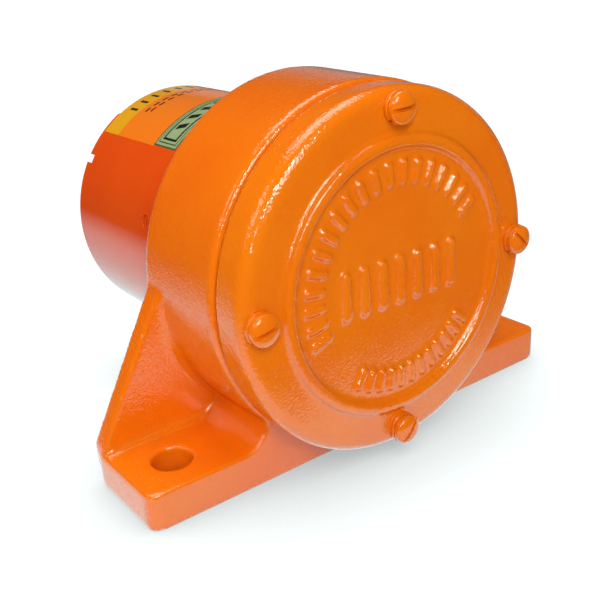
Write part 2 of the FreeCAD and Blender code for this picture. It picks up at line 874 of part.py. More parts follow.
def thrust_washer():
    return tube_y(tail_journal_radius + thrust_washer_rim, tail_journal_radius, washer_y)


# ---- brush gear ----
def brush_plate():
    # insulating plate against the end cap, pierced for the bolts and the cord inlet
    plate = tube_y(can_inner - brush_plate_rim_gap, commutator_radius + brush_plate_bore_gap,
                   [plate_front_y, cap_front_y])
    span = [plate_front_y - overrun, cap_front_y + overrun]
    holes = []
    for angle in bolt_angles:
        centre = around(bolt_circle, angle, 0)
        holes.append(cylinder_y(bolt_radius + bolt_hole_gap, span, centre.x, centre.z))
    for angle in plate_screw_angles:
        centre = around(plate_screw_circle, angle, 0)
        holes.append(cylinder_y(plate_screw_radius, span, centre.x, centre.z))
    inlet = around(inlet_circle, inlet_angle, 0)
    holes.append(cylinder_y(inlet_lip_radius + bolt_hole_gap, span, inlet.x, inlet.z))
    return cut_all(plate, holes)


def plate_screws():
    screws = []
    head_y = plate_front_y - plate_screw_head_height
    for angle in plate_screw_angles:
        centre = around(plate_screw_circle, angle, 0)
        head = cylinder_y(plate_screw_head_radius, [head_y, plate_front_y], centre.x, centre.z)
        shank = cylinder_y(plate_screw_radius, [head_y, cap_front_y + plate_screw_grip], centre.x, centre.z)
        screws.append(fused([head, shank]))
    return screws


def channel_half():
    return [brush_width / 2 + brush_side_gap, brush_thickness / 2 + brush_side_gap]


def brush_holder(angle):
    # open-ended box for one brush, its outer end closed behind the spring
    half_x, half_y = channel_half()
    outer = upright(2 * (half_x + holder_wall), [brush_y - half_y - holder_wall, plate_front_y], holder_z)
    channel = upright(2 * half_x, [brush_y - half_y, brush_y + half_y],
                      [holder_z[0] - overrun, holder_z[1] - holder_wall])
    return spun(outer.cut(channel), angle)


def carbon_brush(angle):
    # the face is hollowed to ride on the commutator
    span = [brush_y - brush_thickness / 2, brush_y + brush_thickness / 2]
    brush = upright(brush_width, span, [commutator_radius - brush_width / 4, brush_z[1]])
    ride = cylinder_y(commutator_radius + brush_face_gap, [span[0] - overrun, span[1] + overrun])
    return spun(brush.cut(ride), angle)


def brush_spring(angle):
    # coil of flat wire between the back of the brush and the end of the holder
    start = axis_height + brush_z[1] + spring_seat_gap + spring_wire / 2
    height = axis_height + holder_z[1] - holder_wall - spring_seat_gap - spring_wire / 2 - start
    path = Part.makeHelix(height / spring_turns, height, spring_radius)
    half = spring_wire / 2
    inner = spring_radius - half
    outer = spring_radius + half
    profile = Part.makePolygon([Vector(inner, 0, -half), Vector(outer, 0, -half), Vector(outer, 0, half),
                                Vector(inner, 0, half), Vector(inner, 0, -half)])
    spring = Part.Wire(path.Edges).makePipeShell([profile], True, True)
    spring.translate(Vector(0, brush_y, start))
    return spun(spring, angle)


def brush_holder_top():
    return brush_holder(0)


def brush_holder_bottom():
    return brush_holder(180)


def carbon_brush_top():
    return carbon_brush(0)


def carbon_brush_bottom():
    return carbon_brush(180)


def brush_spring_top():
    return brush_spring(0)


def brush_spring_bottom():
    return brush_spring(180)


# ---- end cap, bolts, tail bush and cord inlet ----
def cap_pads():
    # full-height pads for the bolt heads and the cord inlet
    span = [cap_front_y, cap_rear_y]
    pads = []
    for angle in bolt_angles:
        centre = around(bolt_circle, angle, 0)
        pads.append(cylinder_y(bolt_head_radius + cap_pad_margin, span, centre.x, centre.z))
    inlet = around(inlet_circle, inlet_angle, 0)
    pads.append(cylinder_y(inlet_lip_radius + cap_pad_margin, span, inlet.x, inlet.z))
    return pads


def end_cap():
    # cast disc with a rim, a boss for the tail bush and ribs between them
    web_y = cap_front_y + cap_web
    rim = cap_radius - cap_rim
    cap = turned([(0, cap_front_y), (cap_radius, cap_front_y), (cap_radius, cap_rear_y),
                  (rim, cap_rear_y), (rim, web_y),
                  (cap_boss_radius, web_y),
                  (cap_boss_radius, tail_bush_y[1] + cap_boss_end),
                  (0, tail_bush_y[1] + cap_boss_end)])
    rib = upright(cap_rib_thickness, [web_y - overrun, cap_rear_y - cap_rib_drop],
                  [cap_boss_radius - overrun, rim + overrun])
    ribs = [spun(rib, 360.0 / cap_rib_count * index) for index in range(cap_rib_count)]
    cuts = [cylinder_y(tail_bush_radius, [cap_front_y - overrun, tail_bush_y[1]])]
    for angle in bolt_angles:
        centre = around(bolt_circle, angle, 0)
        cuts.append(cylinder_y(bolt_radius + bolt_hole_gap, [cap_front_y - overrun, cap_rear_y + overrun],
                               centre.x, centre.z))
    for angle in plate_screw_angles:
        centre = around(plate_screw_circle, angle, 0)
        cuts.append(cylinder_y(plate_screw_radius, [cap_front_y - overrun, cap_front_y + plate_screw_grip],
                               centre.x, centre.z))
    inlet = around(inlet_circle, inlet_angle, 0)
    span = [cap_front_y - overrun, cap_rear_y + overrun]
    cuts.append(cylinder_y(inlet_radius + inlet_wall, span, inlet.x, inlet.z))
    return cut_all(fused([cap] + ribs + cap_pads()), cuts)


def through_bolts():
    # long hexagon bolts that pull the cap and the can against the housing
    bolts = []
    for angle in bolt_angles:
        centre = around(bolt_circle, angle, 0)
        shank = cylinder_y(bolt_radius, [can_front_y - bolt_grip, cap_rear_y + overrun], centre.x, centre.z)
        head = hex_prism(math.sqrt(3) * bolt_head_radius, bolt_head_height,
                         Vector(centre.x, cap_rear_y, centre.z), Vector(0, 1, 0))
        bolts.append(fused([shank, head]))
    return bolts


def tail_bush():
    return tube_y(tail_bush_radius, tail_journal_radius + journal_gap, tail_bush_y)


def cord_inlet():
    # rubber grommet lining the hole where the supply cord enters
    body = inlet_radius + inlet_wall
    ends = [cap_front_y - inlet_lip, cap_rear_y + inlet_lip]
    corners = [(inlet_radius, ends[0]), (inlet_lip_radius, ends[0]), (inlet_lip_radius, cap_front_y),
               (body, cap_front_y), (body, cap_rear_y), (inlet_lip_radius, cap_rear_y),
               (inlet_lip_radius, ends[1]), (inlet_radius, ends[1])]
    centre = around(inlet_circle, inlet_angle, 0)
    grommet = turned(corners)
    grommet.translate(centre - shaft_point)
    return grommet


nodes = [
    housing, front_cover, cover_gasket, cover_screws, lock_washers,
    rotor_shaft, eccentric_weight, weight_key, weight_set_screw, bearing_spacer,
    main_bearing_outer_ring, main_bearing_inner_ring, main_bearing_rollers, main_bearing_cage,
    bearing_circlip,
    front_bearing_outer_ring, front_bearing_inner_ring, front_bearing_rollers, front_bearing_cage,
    motor_can, field_core, field_coil_left, field_coil_right, pole_screws,
    armature_core, armature_winding, commutator_bars, commutator_hub, thrust_washer,
    brush_plate, plate_screws, brush_holder_top, brush_holder_bottom,
    carbon_brush_top, carbon_brush_bottom, brush_spring_top, brush_spring_bottom,
    end_cap, through_bolts, tail_bush, cord_inlet,
]

os.makedirs("parts", exist_ok=True)
for node in nodes:
    save(node(), node.__name__)
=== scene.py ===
# Vibration motor with an orange sprayed housing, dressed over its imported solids.
# The scene is in metres, and the sizes of the pieces are in millimetres.
# X runs along the foot, Y along the shaft away from the cover, Z up.
import bpy, bmesh
import math
from mathutils import Matrix, Vector


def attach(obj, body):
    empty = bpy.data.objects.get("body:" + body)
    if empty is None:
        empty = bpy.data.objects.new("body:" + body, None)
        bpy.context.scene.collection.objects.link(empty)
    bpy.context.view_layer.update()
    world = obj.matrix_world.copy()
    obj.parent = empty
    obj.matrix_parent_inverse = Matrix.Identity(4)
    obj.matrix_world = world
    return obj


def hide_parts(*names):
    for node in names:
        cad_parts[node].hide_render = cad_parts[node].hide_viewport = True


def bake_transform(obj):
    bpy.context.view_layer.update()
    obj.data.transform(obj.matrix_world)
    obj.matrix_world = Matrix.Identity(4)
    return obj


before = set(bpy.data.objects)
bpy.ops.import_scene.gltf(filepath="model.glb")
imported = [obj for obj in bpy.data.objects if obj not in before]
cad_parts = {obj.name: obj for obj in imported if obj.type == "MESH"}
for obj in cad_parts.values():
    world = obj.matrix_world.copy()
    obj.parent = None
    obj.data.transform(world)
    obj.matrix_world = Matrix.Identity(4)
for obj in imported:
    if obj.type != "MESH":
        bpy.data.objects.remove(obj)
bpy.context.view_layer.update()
mm = 0.001
weld = 1e-7  # points closer than this many metres are one
shaftHeight = 64.0
lap = 1.0  # how far cutters and joined shells run past a face

# the camera stands a little above the motor, to the left of its cover
camera = {"place": (-0.17932, -0.22492, 0.16735), "yaw": -35.98, "pitch": 22.81, "roll": -3.54,
          "lens": 51.757, "sensor": 36.0, "near": 0.01}


def placeCamera():
    yaw, pitch, roll = (math.radians(camera[key]) for key in ("yaw", "pitch", "roll"))
    ahead = Vector((-math.sin(yaw) * math.cos(pitch), math.cos(yaw) * math.cos(pitch), -math.sin(pitch)))
    level = Vector((math.cos(yaw), math.sin(yaw), 0))
    upward = level.cross(ahead)
    right = math.cos(roll) * level + math.sin(roll) * upward
    top = math.cos(roll) * upward - math.sin(roll) * level
    data = bpy.data.cameras.new("motorCamera")
    data.lens = camera["lens"]
    data.sensor_width = camera["sensor"]
    data.clip_start = camera["near"]
    rig = bpy.data.objects.new("motorCamera", data)
    bpy.context.scene.collection.objects.link(rig)
    rig.matrix_world = Matrix((right, top, -ahead)).transposed().to_4x4()
    rig.location = camera["place"]
    bpy.context.scene.camera = rig


placeCamera()
print("camera placed")


def srgb(code):
    # a hex colour as the linear colour that a shader takes
    values = [int(code[i:i + 2], 16) / 255 for i in (1, 3, 5)]
    return [v / 12.92 if v <= 0.04045 else ((v + 0.055) / 1.055) ** 2.4 for v in values] + [1.0]


def perMm(size):
    return 1000 / size  # texture scale for a pattern this many millimetres wide


def addNode(material, kind, settings=None, links=None):
    node = material.node_tree.nodes.new(kind)
    for name, value in (settings or {}).items():
        if isinstance(name, int) or name in node.inputs:
            node.inputs[name].default_value = value
        else:
            setattr(node, name, value)
    for name, source in (links or {}).items():
        material.node_tree.links.new(source, node.inputs[name])
    return node


def newMaterial(name):
    material = bpy.data.materials.new(name)
    material.use_nodes = True
    material.node_tree.nodes.clear()
    return material


def finishMaterial(material, shader):
    addNode(material, "ShaderNodeOutputMaterial", links={"Surface": shader.outputs[0]})
    return material


toneEdges = (0.35, 0.65)  # parts of the pattern below and above these have one plain tone


def mottled(material, place, size, codes, detail):
    # soft spots of two close tones; the pattern is handed back too, for a bump
    spots = addNode(material, "ShaderNodeTexNoise", {"Scale": perMm(size), "Detail": detail},
                    {"Vector": place})
    tone = addNode(material, "ShaderNodeValToRGB", links={"Fac": spots.outputs["Fac"]})
    for stop, edge, code in zip(tone.color_ramp.elements, toneEdges, codes):
        stop.position = edge
        stop.color = srgb(code)
    return spots.outputs["Fac"], tone.outputs["Color"]


# tones run from deep to light, and patterns are in millimetres; foundry sand is finer than this sand
# and grit, which are drawn as coarse as they need to show
# the iron tones are redder than the cover's as painted shade for the housing's dimmer sides
enamel = {"cover": ("#EC7009", "#EE790A"), "iron": ("#EC6B09", "#EE740A"), "tube": ("#E04908", "#E4510A"),
          "patch": 34.0, "lump": 6.0, "lumpHeight": 0.09, "sand": 1.3, "sandHeight": 0.06,
          "grit": 0.85, "gritHeight": 0.08, "peel": 2.4, "peelHeight": 0.012,
          "roughLow": 0.16, "roughHigh": 0.26}


def sprayedEnamel(name, tones, sandShare, lumpShare):
    # orange alkyd enamel sprayed over metal: wet gloss that breaks up on the grain underneath
    material = newMaterial(name)
    place = addNode(material, "ShaderNodeTexCoord").outputs["Object"]
    tone = mottled(material, place, enamel["patch"], enamel[tones], detail=3.0)[1]
    lumps = addNode(material, "ShaderNodeTexNoise", {"Scale": perMm(enamel["lump"]), "Detail": 2.0},
                    {"Vector": place})
    sand = addNode(material, "ShaderNodeTexNoise", {"Scale": perMm(enamel["sand"]), "Detail": 2.0},
                   {"Vector": place})
    grit = addNode(material, "ShaderNodeTexVoronoi", {"Scale": perMm(enamel["grit"])}, {"Vector": place})
    peel = addNode(material, "ShaderNodeTexNoise", {"Scale": perMm(enamel["peel"]), "Detail": 1.0},
                   {"Vector": place})
    below = {}
    for height, size in ((lumps.outputs["Fac"], enamel["lumpHeight"] * lumpShare),
                         (sand.outputs["Fac"], enamel["sandHeight"] * sandShare),
                         (grit.outputs["Distance"], enamel["gritHeight"] * sandShare),
                         (peel.outputs["Fac"], enamel["peelHeight"])):
        bump = addNode(material, "ShaderNodeBump", {"Strength": 1.0, "Distance": size * mm},
                       {"Height": height, **below})
        below = {"Normal": bump.outputs["Normal"]}
    rough = addNode(material, "ShaderNodeMapRange",
                    {"To Min": enamel["roughLow"], "To Max": enamel["roughHigh"]},
                    {"Value": sand.outputs["Fac"]})
    shader = addNode(material, "ShaderNodeBsdfPrincipled",
                     {"Specular IOR Level": 0.06, "Coat Weight": 1.0, "Coat Roughness": 0.05,
                      "Coat IOR": 1.65},
                     {"Base Color": tone, "Roughness": rough.outputs["Result"],
                      "Normal": bump.outputs["Normal"], "Coat Normal": bump.outputs["Normal"]})
    return finishMaterial(material, shader)


enamelOnCover = sprayedEnamel("enamelOnCastCover", "cover", 1.0, 1.0)  # sandy casting, a warm broken gloss
enamelOnIron = sprayedEnamel("enamelOnCastIron", "iron", 1.0, 1.0)  # a little redder than the cover: painted shade for the housing's dimmer sides
enamelOnSteel = sprayedEnamel("enamelOnSteel", "cover", 0.0, 0.15)  # smooth steel, small clear highlights
enamelOnTube = sprayedEnamel("enamelOnDrawnTube", "tube", 0.0, 0.12)  # drawn tube, a deep red-orange mirror; its redder tone is partly its own paint and partly painted shade

# texture scale along a line, and how far the roughness strays below and above its own value
machining = {"along": 60.0, "finer": 0.06, "coarser": 0.08}


def groundMetal(name, code, rough, line, lineHeight):
    # turned or ground metal: fine lines round the shaft stretch its highlights
    material = newMaterial(name)
    place = addNode(material, "ShaderNodeTexCoord").outputs["Object"]
    along = addNode(material, "ShaderNodeMapping",
                    {"Scale": (machining["along"], perMm(line), machining["along"])}, {"Vector": place})
    lines = addNode(material, "ShaderNodeTexNoise", {"Scale": 1.0, "Detail": 2.0},
                    {"Vector": along.outputs["Vector"]})
    spread = addNode(material, "ShaderNodeMapRange",
                     {"To Min": rough - machining["finer"], "To Max": rough + machining["coarser"]},
                     {"Value": lines.outputs["Fac"]})
    bump = addNode(material, "ShaderNodeBump", {"Strength": 1.0, "Distance": lineHeight * mm},
                   {"Height": lines.outputs["Fac"]})
    shader = addNode(material, "ShaderNodeBsdfPrincipled", {"Base Color": srgb(code), "Metallic": 1.0},
                     {"Roughness": spread.outputs["Result"], "Normal": bump.outputs["Normal"]})
    return finishMaterial(material, shader)


def grainySolid(name, codes, grain, grainHeight, rough):
    # pressed, moulded or as-cast stuff: two close tones in grains, dull or slightly shiny
    material = newMaterial(name)
    place = addNode(material, "ShaderNodeTexCoord").outputs["Object"]
    grains, tone = mottled(material, place, grain, codes, detail=5.0)
    bump = addNode(material, "ShaderNodeBump", {"Strength": 1.0, "Distance": grainHeight * mm},
                   {"Height": grains})
    shader = addNode(material, "ShaderNodeBsdfPrincipled", {"Roughness": rough},
                     {"Base Color": tone, "Normal": bump.outputs["Normal"]})
    return finishMaterial(material, shader)


# after a metal's colour come its roughness and its lines' width and depth
zincPlate = groundMetal("zincPlatedSteel", "#BDBDB6", 0.32, 0.6, 0.004)  # passivated, a soft grey shine
bearingSteel = groundMetal("groundBearingSteel", "#C4C6C8", 0.18, 0.3, 0.001)  # fine grinding, near mirror
blackSteel = groundMetal("blackenedSteel", "#2B2A2C", 0.42, 0.5, 0.003)  # oiled black oxide, dark satin
brassSheet = groundMetal("machinedBrass", "#C9A55A", 0.30, 0.4, 0.003)  # cut bright, warm yellow streaks
bronzeBush = groundMetal("sinteredBronze", "#A97C46", 0.45, 0.5, 0.004)  # pressed powder, brown and half dull
copperBars = groundMetal("turnedCopper", "#C97B52", 0.28, 0.3, 0.002)  # skimmed in a lathe, pink rings
laminations = groundMetal("coreLaminations", "#5B5E63", 0.45, 0.5, 0.03)  # half-millimetre sheets on edge

# after a solid's two tones come its grain, the grain's height and the roughness
bareIron = grainySolid("bareCastIron", ("#3E3F41", "#4B4C4E"), 1.2, 0.05, 0.6)  # sand cast, dark and dull
castAluminium = grainySolid("castAluminium", ("#8F8F8D", "#A2A2A0"), 0.9, 0.03, 0.45)  # cast, pale satin
magnetWire = grainySolid("varnishedCopperWire", ("#6E3417", "#8C4A22"), 0.7, 0.08, 0.35)  # brown varnish
fibreBoard = grainySolid("phenolicFibre", ("#5A3620", "#664026"), 0.6, 0.01, 0.5)  # pressed, an even brown
brushCarbon = grainySolid("pressedCarbon", ("#151516", "#1C1C1E"), 0.4, 0.01, 0.55)  # black, faintly shiny
blackRubber = grainySolid("mouldedRubber", ("#0E0E0E", "#161616"), 0.5, 0.01, 0.62)  # moulded, a soft black
jointSheet = grainySolid("gasketSheet", ("#241D18", "#30271F"), 0.5, 0.01, 0.8)  # oiled paper, flat and dark
print("materials made")

nodeFinish = {
    "housing": enamelOnIron, "front_cover": enamelOnCover, "end_cap": castAluminium,
    "motor_can": enamelOnTube, "cover_screws": enamelOnSteel, "lock_washers": enamelOnSteel,
    "cover_gasket": jointSheet, "eccentric_weight": bareIron, "cord_inlet": blackRubber,
    "rotor_shaft": bearingSteel, "weight_key": bearingSteel, "bearing_spacer": bearingSteel,
    "main_bearing_outer_ring": bearingSteel, "main_bearing_inner_ring": bearingSteel,
    "main_bearing_rollers": bearingSteel, "front_bearing_outer_ring": bearingSteel,
    "front_bearing_inner_ring": bearingSteel, "front_bearing_rollers": bearingSteel,
    "main_bearing_cage": brassSheet, "front_bearing_cage": brassSheet, "brush_holder_top": brassSheet,
    "brush_holder_bottom": brassSheet, "weight_set_screw": blackSteel, "bearing_circlip": blackSteel,
    "pole_screws": enamelOnTube, "plate_screws": zincPlate, "through_bolts": zincPlate,
    "brush_spring_top": zincPlate, "brush_spring_bottom": zincPlate, "field_core": laminations,
    "armature_core": laminations, "field_coil_left": magnetWire, "field_coil_right": magnetWire,
    "armature_winding": magnetWire, "commutator_bars": copperBars, "commutator_hub": fibreBoard,
    "brush_plate": fibreBoard, "thrust_washer": fibreBoard, "carbon_brush_top": brushCarbon,
    "carbon_brush_bottom": brushCarbon, "tail_bush": bronzeBush,
}
for nodeName, finish in nodeFinish.items():
    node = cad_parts[nodeName]
    node.data.materials.clear()
    node.data.materials.append(finish)
    node.data.shade_smooth()
print("solids finished")


def link(mesh, name):
    piece = bpy.data.objects.new(name, mesh)
    bpy.context.scene.collection.objects.link(piece)
    return piece


def roundedCorners(corners, steps=8):
    # corners are (u, v) or (u, v, radius); a radius becomes an arc of short steps
    points = []
    for index, corner in enumerate(corners):
        here = Vector(corner[:2])
        if len(corner) < 3 or corner[2] <= 0:
            points.append(here)
            continue
        back = (Vector(corners[index - 1][:2]) - here).normalized()
        onward = (Vector(corners[(index + 1) % len(corners)][:2]) - here).normalized()
        half = back.angle(onward) / 2
        reach = corner[2] / math.tan(half)
        centre = here + (back + onward).normalized() * (corner[2] / math.sin(half))
        start = here + back * reach - centre
        sweep = math.pi - 2 * half
        turn = 1 if start.cross(here + onward * reach - centre) > 0 else -1
        for step in range(steps + 1):
            points.append(centre + Matrix.Rotation(turn * sweep * step / steps, 2) @ start)
    return points


def closedMesh(work, name):
    # a solid's finished mesh, with its seams welded and its faces turned outwards
    bmesh.ops.remove_doubles(work, verts=work.verts, dist=weld)
    bmesh.ops.recalc_face_normals(work, faces=work.faces)
    mesh = bpy.data.meshes.new(name)
    work.to_mesh(mesh)
    work.free()
    return mesh


def turned(corners, segments=256, centre=(0.0, shaftHeight), steps=8):
    # a solid turned from (radius, y) corners about a line along Y through the centre
    work = bmesh.new()
    rings = []
    for radius, y in roundedCorners(corners, steps):
        ring = []
        for step in range(segments):
            angle = 2 * math.pi * step / segments
            if radius <= 0 and ring:
                ring.append(ring[0])
                continue
            ring.append(work.verts.new(((centre[0] + radius * math.sin(angle)) * mm, y * mm,
                                        (centre[1] + radius * math.cos(angle)) * mm)))
        rings.append(ring)
    for index, ring in enumerate(rings):
        after = rings[(index + 1) % len(rings)]
        for step in range(segments):
            follow = (step + 1) % segments
            corner = list(dict.fromkeys([ring[step], ring[follow], after[follow], after[step]]))
            if len(corner) > 2:
                work.faces.new(corner)
    return closedMesh(work, "turned")


def skinned(rings, name):
    # a closed solid whose skin runs over the rings of points in turn
    work = bmesh.new()
    loops = [[work.verts.new(Vector(point) * mm) for point in ring] for ring in rings]
    work.faces.new(loops[0])
    work.faces.new(list(reversed(loops[-1])))
    for one, two in zip(loops, loops[1:]):
        for index in range(len(one)):
            after = (index + 1) % len(one)
            work.faces.new([one[index], two[index], two[after], one[after]])
    return closedMesh(work, name)


def extruded(corners, low, high, place, steps=8):
    # a prism: place(u, v, w) puts an outline point at depth w
    points = roundedCorners(corners, steps)
    return skinned([[place(u, v, depth) for u, v in points] for depth in (low, high)], "extruded")


def block(left, right, bottom, top, low, high, place, corner=0.0):
    # a prism on a rectangle, with all four corners rounded alike
    return extruded([(left, bottom, corner), (right, bottom, corner), (right, top, corner),
                     (left, top, corner)], low, high, place)


def disc(radius, segments=64):
    return [(radius * math.cos(2 * math.pi * i / segments), radius * math.sin(2 * math.pi * i / segments))
            for i in range(segments)]


def placing(centre, acrossWay, upWay, deepWay):
    # a function that puts the outline point (u, v) at depth w
    def place(u, v, w):
        return centre + acrossWay * u + upWay * v + deepWay * w
    return place


# outlines of (y, z), (x, z) and (x, y), with their depth along X, Y and Z
xWay, yWay, zWay = Vector((1, 0, 0)), Vector((0, 1, 0)), Vector((0, 0, 1))
alongX = placing(Vector(), yWay, zWay, xWay)
alongY = placing(Vector(), xWay, zWay, yWay)
alongZ = placing(Vector(), xWay, yWay, zWay)


def spokes(angle):
    # across and out from the shaft; the angle runs from the top towards -X
    turn = math.radians(angle)
    return Vector((math.cos(turn), 0, math.sin(turn))), Vector((-math.sin(turn), 0, math.cos(turn)))


def around(radius, angle, y=0.0):
    # a point about the shaft
    turn = math.radians(angle)
    return Vector((-radius * math.sin(turn), y, shaftHeight + radius * math.cos(turn)))


def standing(angle, radius=0.0):
    # places an outline of (across, out from the shaft) at depth y, turned to the angle
    across, out = spokes(angle)
    return placing(Vector((0, 0, shaftHeight)) + out * radius, across, out, yWay)


def merged(meshes, name):
    # several meshes gathered as loose shells in one
    work = bmesh.new()
    for mesh in meshes:
        work.from_mesh(mesh)
        bpy.data.meshes.remove(mesh)
    mesh = bpy.data.meshes.new(name)
    work.to_mesh(mesh)
    work.free()
    return mesh


def evaluated(piece):
    # the piece's own mesh becomes what its modifiers make
    depsgraph = bpy.context.evaluated_depsgraph_get()
    mesh = bpy.data.meshes.new_from_object(piece.evaluated_get(depsgraph))
    old = piece.data
    piece.modifiers.clear()
    piece.data = mesh
    bpy.data.meshes.remove(old)
    return piece


def carved(piece, cutters, operation="DIFFERENCE"):
    tools = []
    for cutter in cutters:
        tool = link(cutter, "cutter")
        tools.append(tool)
        boolean = piece.modifiers.new("cut", "BOOLEAN")
        boolean.operation = operation
        boolean.solver = "EXACT"
        boolean.object = tool
    evaluated(piece)
    for tool in tools:
        bpy.data.meshes.remove(tool.data)
    return piece


def melted(piece, voxel, rounds=0):
    # casting skin: all shells run together, and each round softens every edge
    skin = piece.modifiers.new("skin", "REMESH")
    skin.mode = "VOXEL"
    skin.voxel_size = voxel * mm
    soften = piece.modifiers.new("soften", "SMOOTH")
    soften.iterations = rounds
    return evaluated(piece)


def smoothed(piece, angle):
    # flat faces stay flat in the gloss, and only corners sharper than the angle stay sharp
    piece.data.shade_smooth()
    piece.data.set_sharp_from_angle(angle=math.radians(angle))
    level = piece.modifiers.new("level", "WEIGHTED_NORMAL")
    level.keep_sharp = True
    return evaluated(piece)


def dressed(piece, material, body, slot, *nodes):
    piece.data.materials.clear()
    piece.data.materials.append(material)
    piece.data.shade_smooth()
    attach(piece, body)
    if nodes:
        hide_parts(*nodes)


# what is sunk starts that far inside the neck or its root, where it can't be seen
housing = {"footLength": 179.98, "footThickness": 13.0, "faceY": -16.0, "footRear": 24.0, "rearY": 25.0,
           "footCorner": 4.0, "toeCorner": 6.0, "toeInset": 0.8, "neckHalf": 44.6, "neckRoot": 11.0,
           "webThickness": 8.0, "webToe": 2.0, "webTop": 65.5, "webFoot": 6.0, "webInset": 0.05,
           "webSunk": 4.0, "webRoot": 3.5, "rootSunk": 5.56, "rootInset": 3.0, "ringSunk": 4.6,
           "ringDepth": 3.0, "ringLap": 0.1, "frontRadius": 61.8, "rearRadius": 62.5, "frontRound": 1.2,
           "rearRound": 2.2, "chamber": 48.25, "floorY": 16.0, "bossRadius": 25.5, "bossFront": 6.75,
           "bearing": 20.0, "lip": 12.5, "lipDepth": 0.5, "canBore": 48.6, "canSeat": 22.0,
           "holeX": 73.0, "holeRadius": 6.75, "voxel": 0.8, "softening": 9}


def footAndNeck():
    h = housing
    front, back, top = h["faceY"], h["footRear"], h["footThickness"]
    half, neck = h["footLength"] / 2, h["neckHalf"]
    reach = neck + h["neckRoot"]
    return [extruded([(-half, front, h["footCorner"]), (half, front, h["footCorner"]),
                      (half, back, h["toeCorner"]), (-half, back, h["toeCorner"])], 0, top, alongZ),
            extruded([(-reach, top / 2), (reach, top / 2), (reach, top), (neck, top, h["neckRoot"]),
                      (neck, shaftHeight), (-neck, shaftHeight), (-neck, top, h["neckRoot"]),
                      (-reach, top)], front, back, alongY)]


def webProfile(side, sunk):
    # a gusset web seen from the front, from inside the neck to the end of the foot
    h = housing
    start = side * (h["neckHalf"] - sunk)
    toe = side * (h["footLength"] / 2 - h["toeInset"])
    high = side * math.sqrt(h["frontRadius"] ** 2 - (h["webTop"] - shaftHeight) ** 2)
    return [(start, h["webFoot"]), (toe, h["webFoot"]), (toe, h["footThickness"] + h["webToe"]),
            (high, h["webTop"]), (start, h["webTop"])]


def gussetWebs():
    # a web on each side along the rear of the foot, with a hollow root where they meet
    h = housing
    back, top, root = h["footRear"], h["footThickness"], h["webRoot"]
    front = back - h["webThickness"]
    profile = [(front + lap, top - lap), (front + lap, top + root), (front, top + root), (front, top, root),
               (front - root, top), (front - root, top - lap)]
    shells = []
    for side in (-1, 1):
        shells.append(extruded(webProfile(side, h["webSunk"]), front, back - h["webInset"], alongY))
        low, high = sorted((side * (h["neckHalf"] + h["neckRoot"] - h["rootSunk"]),
                            side * (h["footLength"] / 2 - h["rootInset"])))
        shells.append(extruded(profile, low, high, alongX))
    return shells


def webRing():
    # the hollow root where both webs meet the drafted barrel
    h = housing
    front = h["footRear"] - h["webThickness"]
    start = front - h["webRoot"]
    draft = (h["rearRadius"] - h["frontRadius"]) / (h["rearY"] - h["faceY"])
    skirt = h["frontRadius"] + draft * (front - h["faceY"])
    ring = link(turned([(skirt - h["ringDepth"], start), (skirt - h["ringLap"], start),
                        (skirt, front, h["webRoot"]), (skirt + h["webRoot"], front),
                        (skirt + h["webRoot"], front + lap), (skirt - h["ringDepth"], front + lap)]),
                "webRing")
    wedges = [extruded(webProfile(side, h["ringSunk"]), start - lap, front + 2 * lap, alongY)
              for side in (-1, 1)]
    carved(ring, [merged(wedges, "wedges")], "INTERSECT")
    mesh = ring.data.copy()
    bpy.data.meshes.remove(ring.data)
    return mesh


def makeHousing():
    h = housing
    barrel = turned([(0, h["faceY"]), (h["frontRadius"], h["faceY"], h["frontRound"]),
                     (h["rearRadius"], h["rearY"], h["rearRound"]), (0, h["rearY"])])
    shells = footAndNeck() + gussetWebs() + [barrel, webRing()]
    front, rear = h["faceY"] - lap, h["rearY"] + lap
    seat = h["canSeat"] + h["lipDepth"]
    hollow = turned([(0, front), (h["chamber"], front), (h["chamber"], h["floorY"]),
                     (h["bossRadius"], h["floorY"]), (h["bossRadius"], h["bossFront"]),
                     (h["bearing"], h["bossFront"]), (h["bearing"], h["canSeat"]), (h["lip"], h["canSeat"]),
                     (h["lip"], seat), (h["canBore"], seat), (h["canBore"], rear), (0, rear)])
    holes = [extruded([(side * h["holeX"] + u, v) for u, v in disc(h["holeRadius"])],
                      -lap, h["footThickness"] + lap, alongZ) for side in (-1, 1)]
    piece = melted(link(merged(shells, "housing"), "housingCasting"), h["voxel"])
    carved(piece, [hollow, merged(holes, "holes")])
    melted(piece, h["voxel"], h["softening"])
    dressed(piece, enamelOnIron, "stator", "enamel", "housing")


makeHousing()
print("housing cast")


cover = {"front": -31.0, "back": -16.8, "radius": 61.0, "edgeRound": 4.6, "backRound": 0.7,
         "beadInner": 42.2, "beadOuter": 47.2, "beadSlope": 1.0, "beadHeight": 2.4, "beadRound": 1.25,
         "spigot": 48.1, "spigotY": -13.85, "spigotRound": 0.4, "pocket": 43.2, "floor": -25.0,
         "pocketRound": 1.5, "boss": 22.9, "bossY": -14.1, "bossRound": 0.6, "bore": 17.55, "boreRound": 0.4,
         "ribWidth": 5.0, "ribY": -21.0, "ribAngles": (45, 135, 225, 315),
         "screwCircle": 54.9, "screwHole": 3.1, "holeSides": 32, "screwAngles": (0, 90, 180, 270),
         "voxel": 0.6, "softening": 4}
# an arc of bars is (count, first angle, last angle)
ornament = {"arcs": ((19, -60.0, 110.0), (12, 150.0, 232.0)), "inner": 31.2, "outer": 38.8, "width": 2.2,
            "height": 1.5, "cornerShare": 0.8, "flare": 1.15, "rowCount": 7, "rowPitch": 7.6,
            "rowHalf": 8.2, "rowWidth": 3.4, "rowHeight": 1.9, "rowCornerShare": 0.9, "sunk": 0.8}


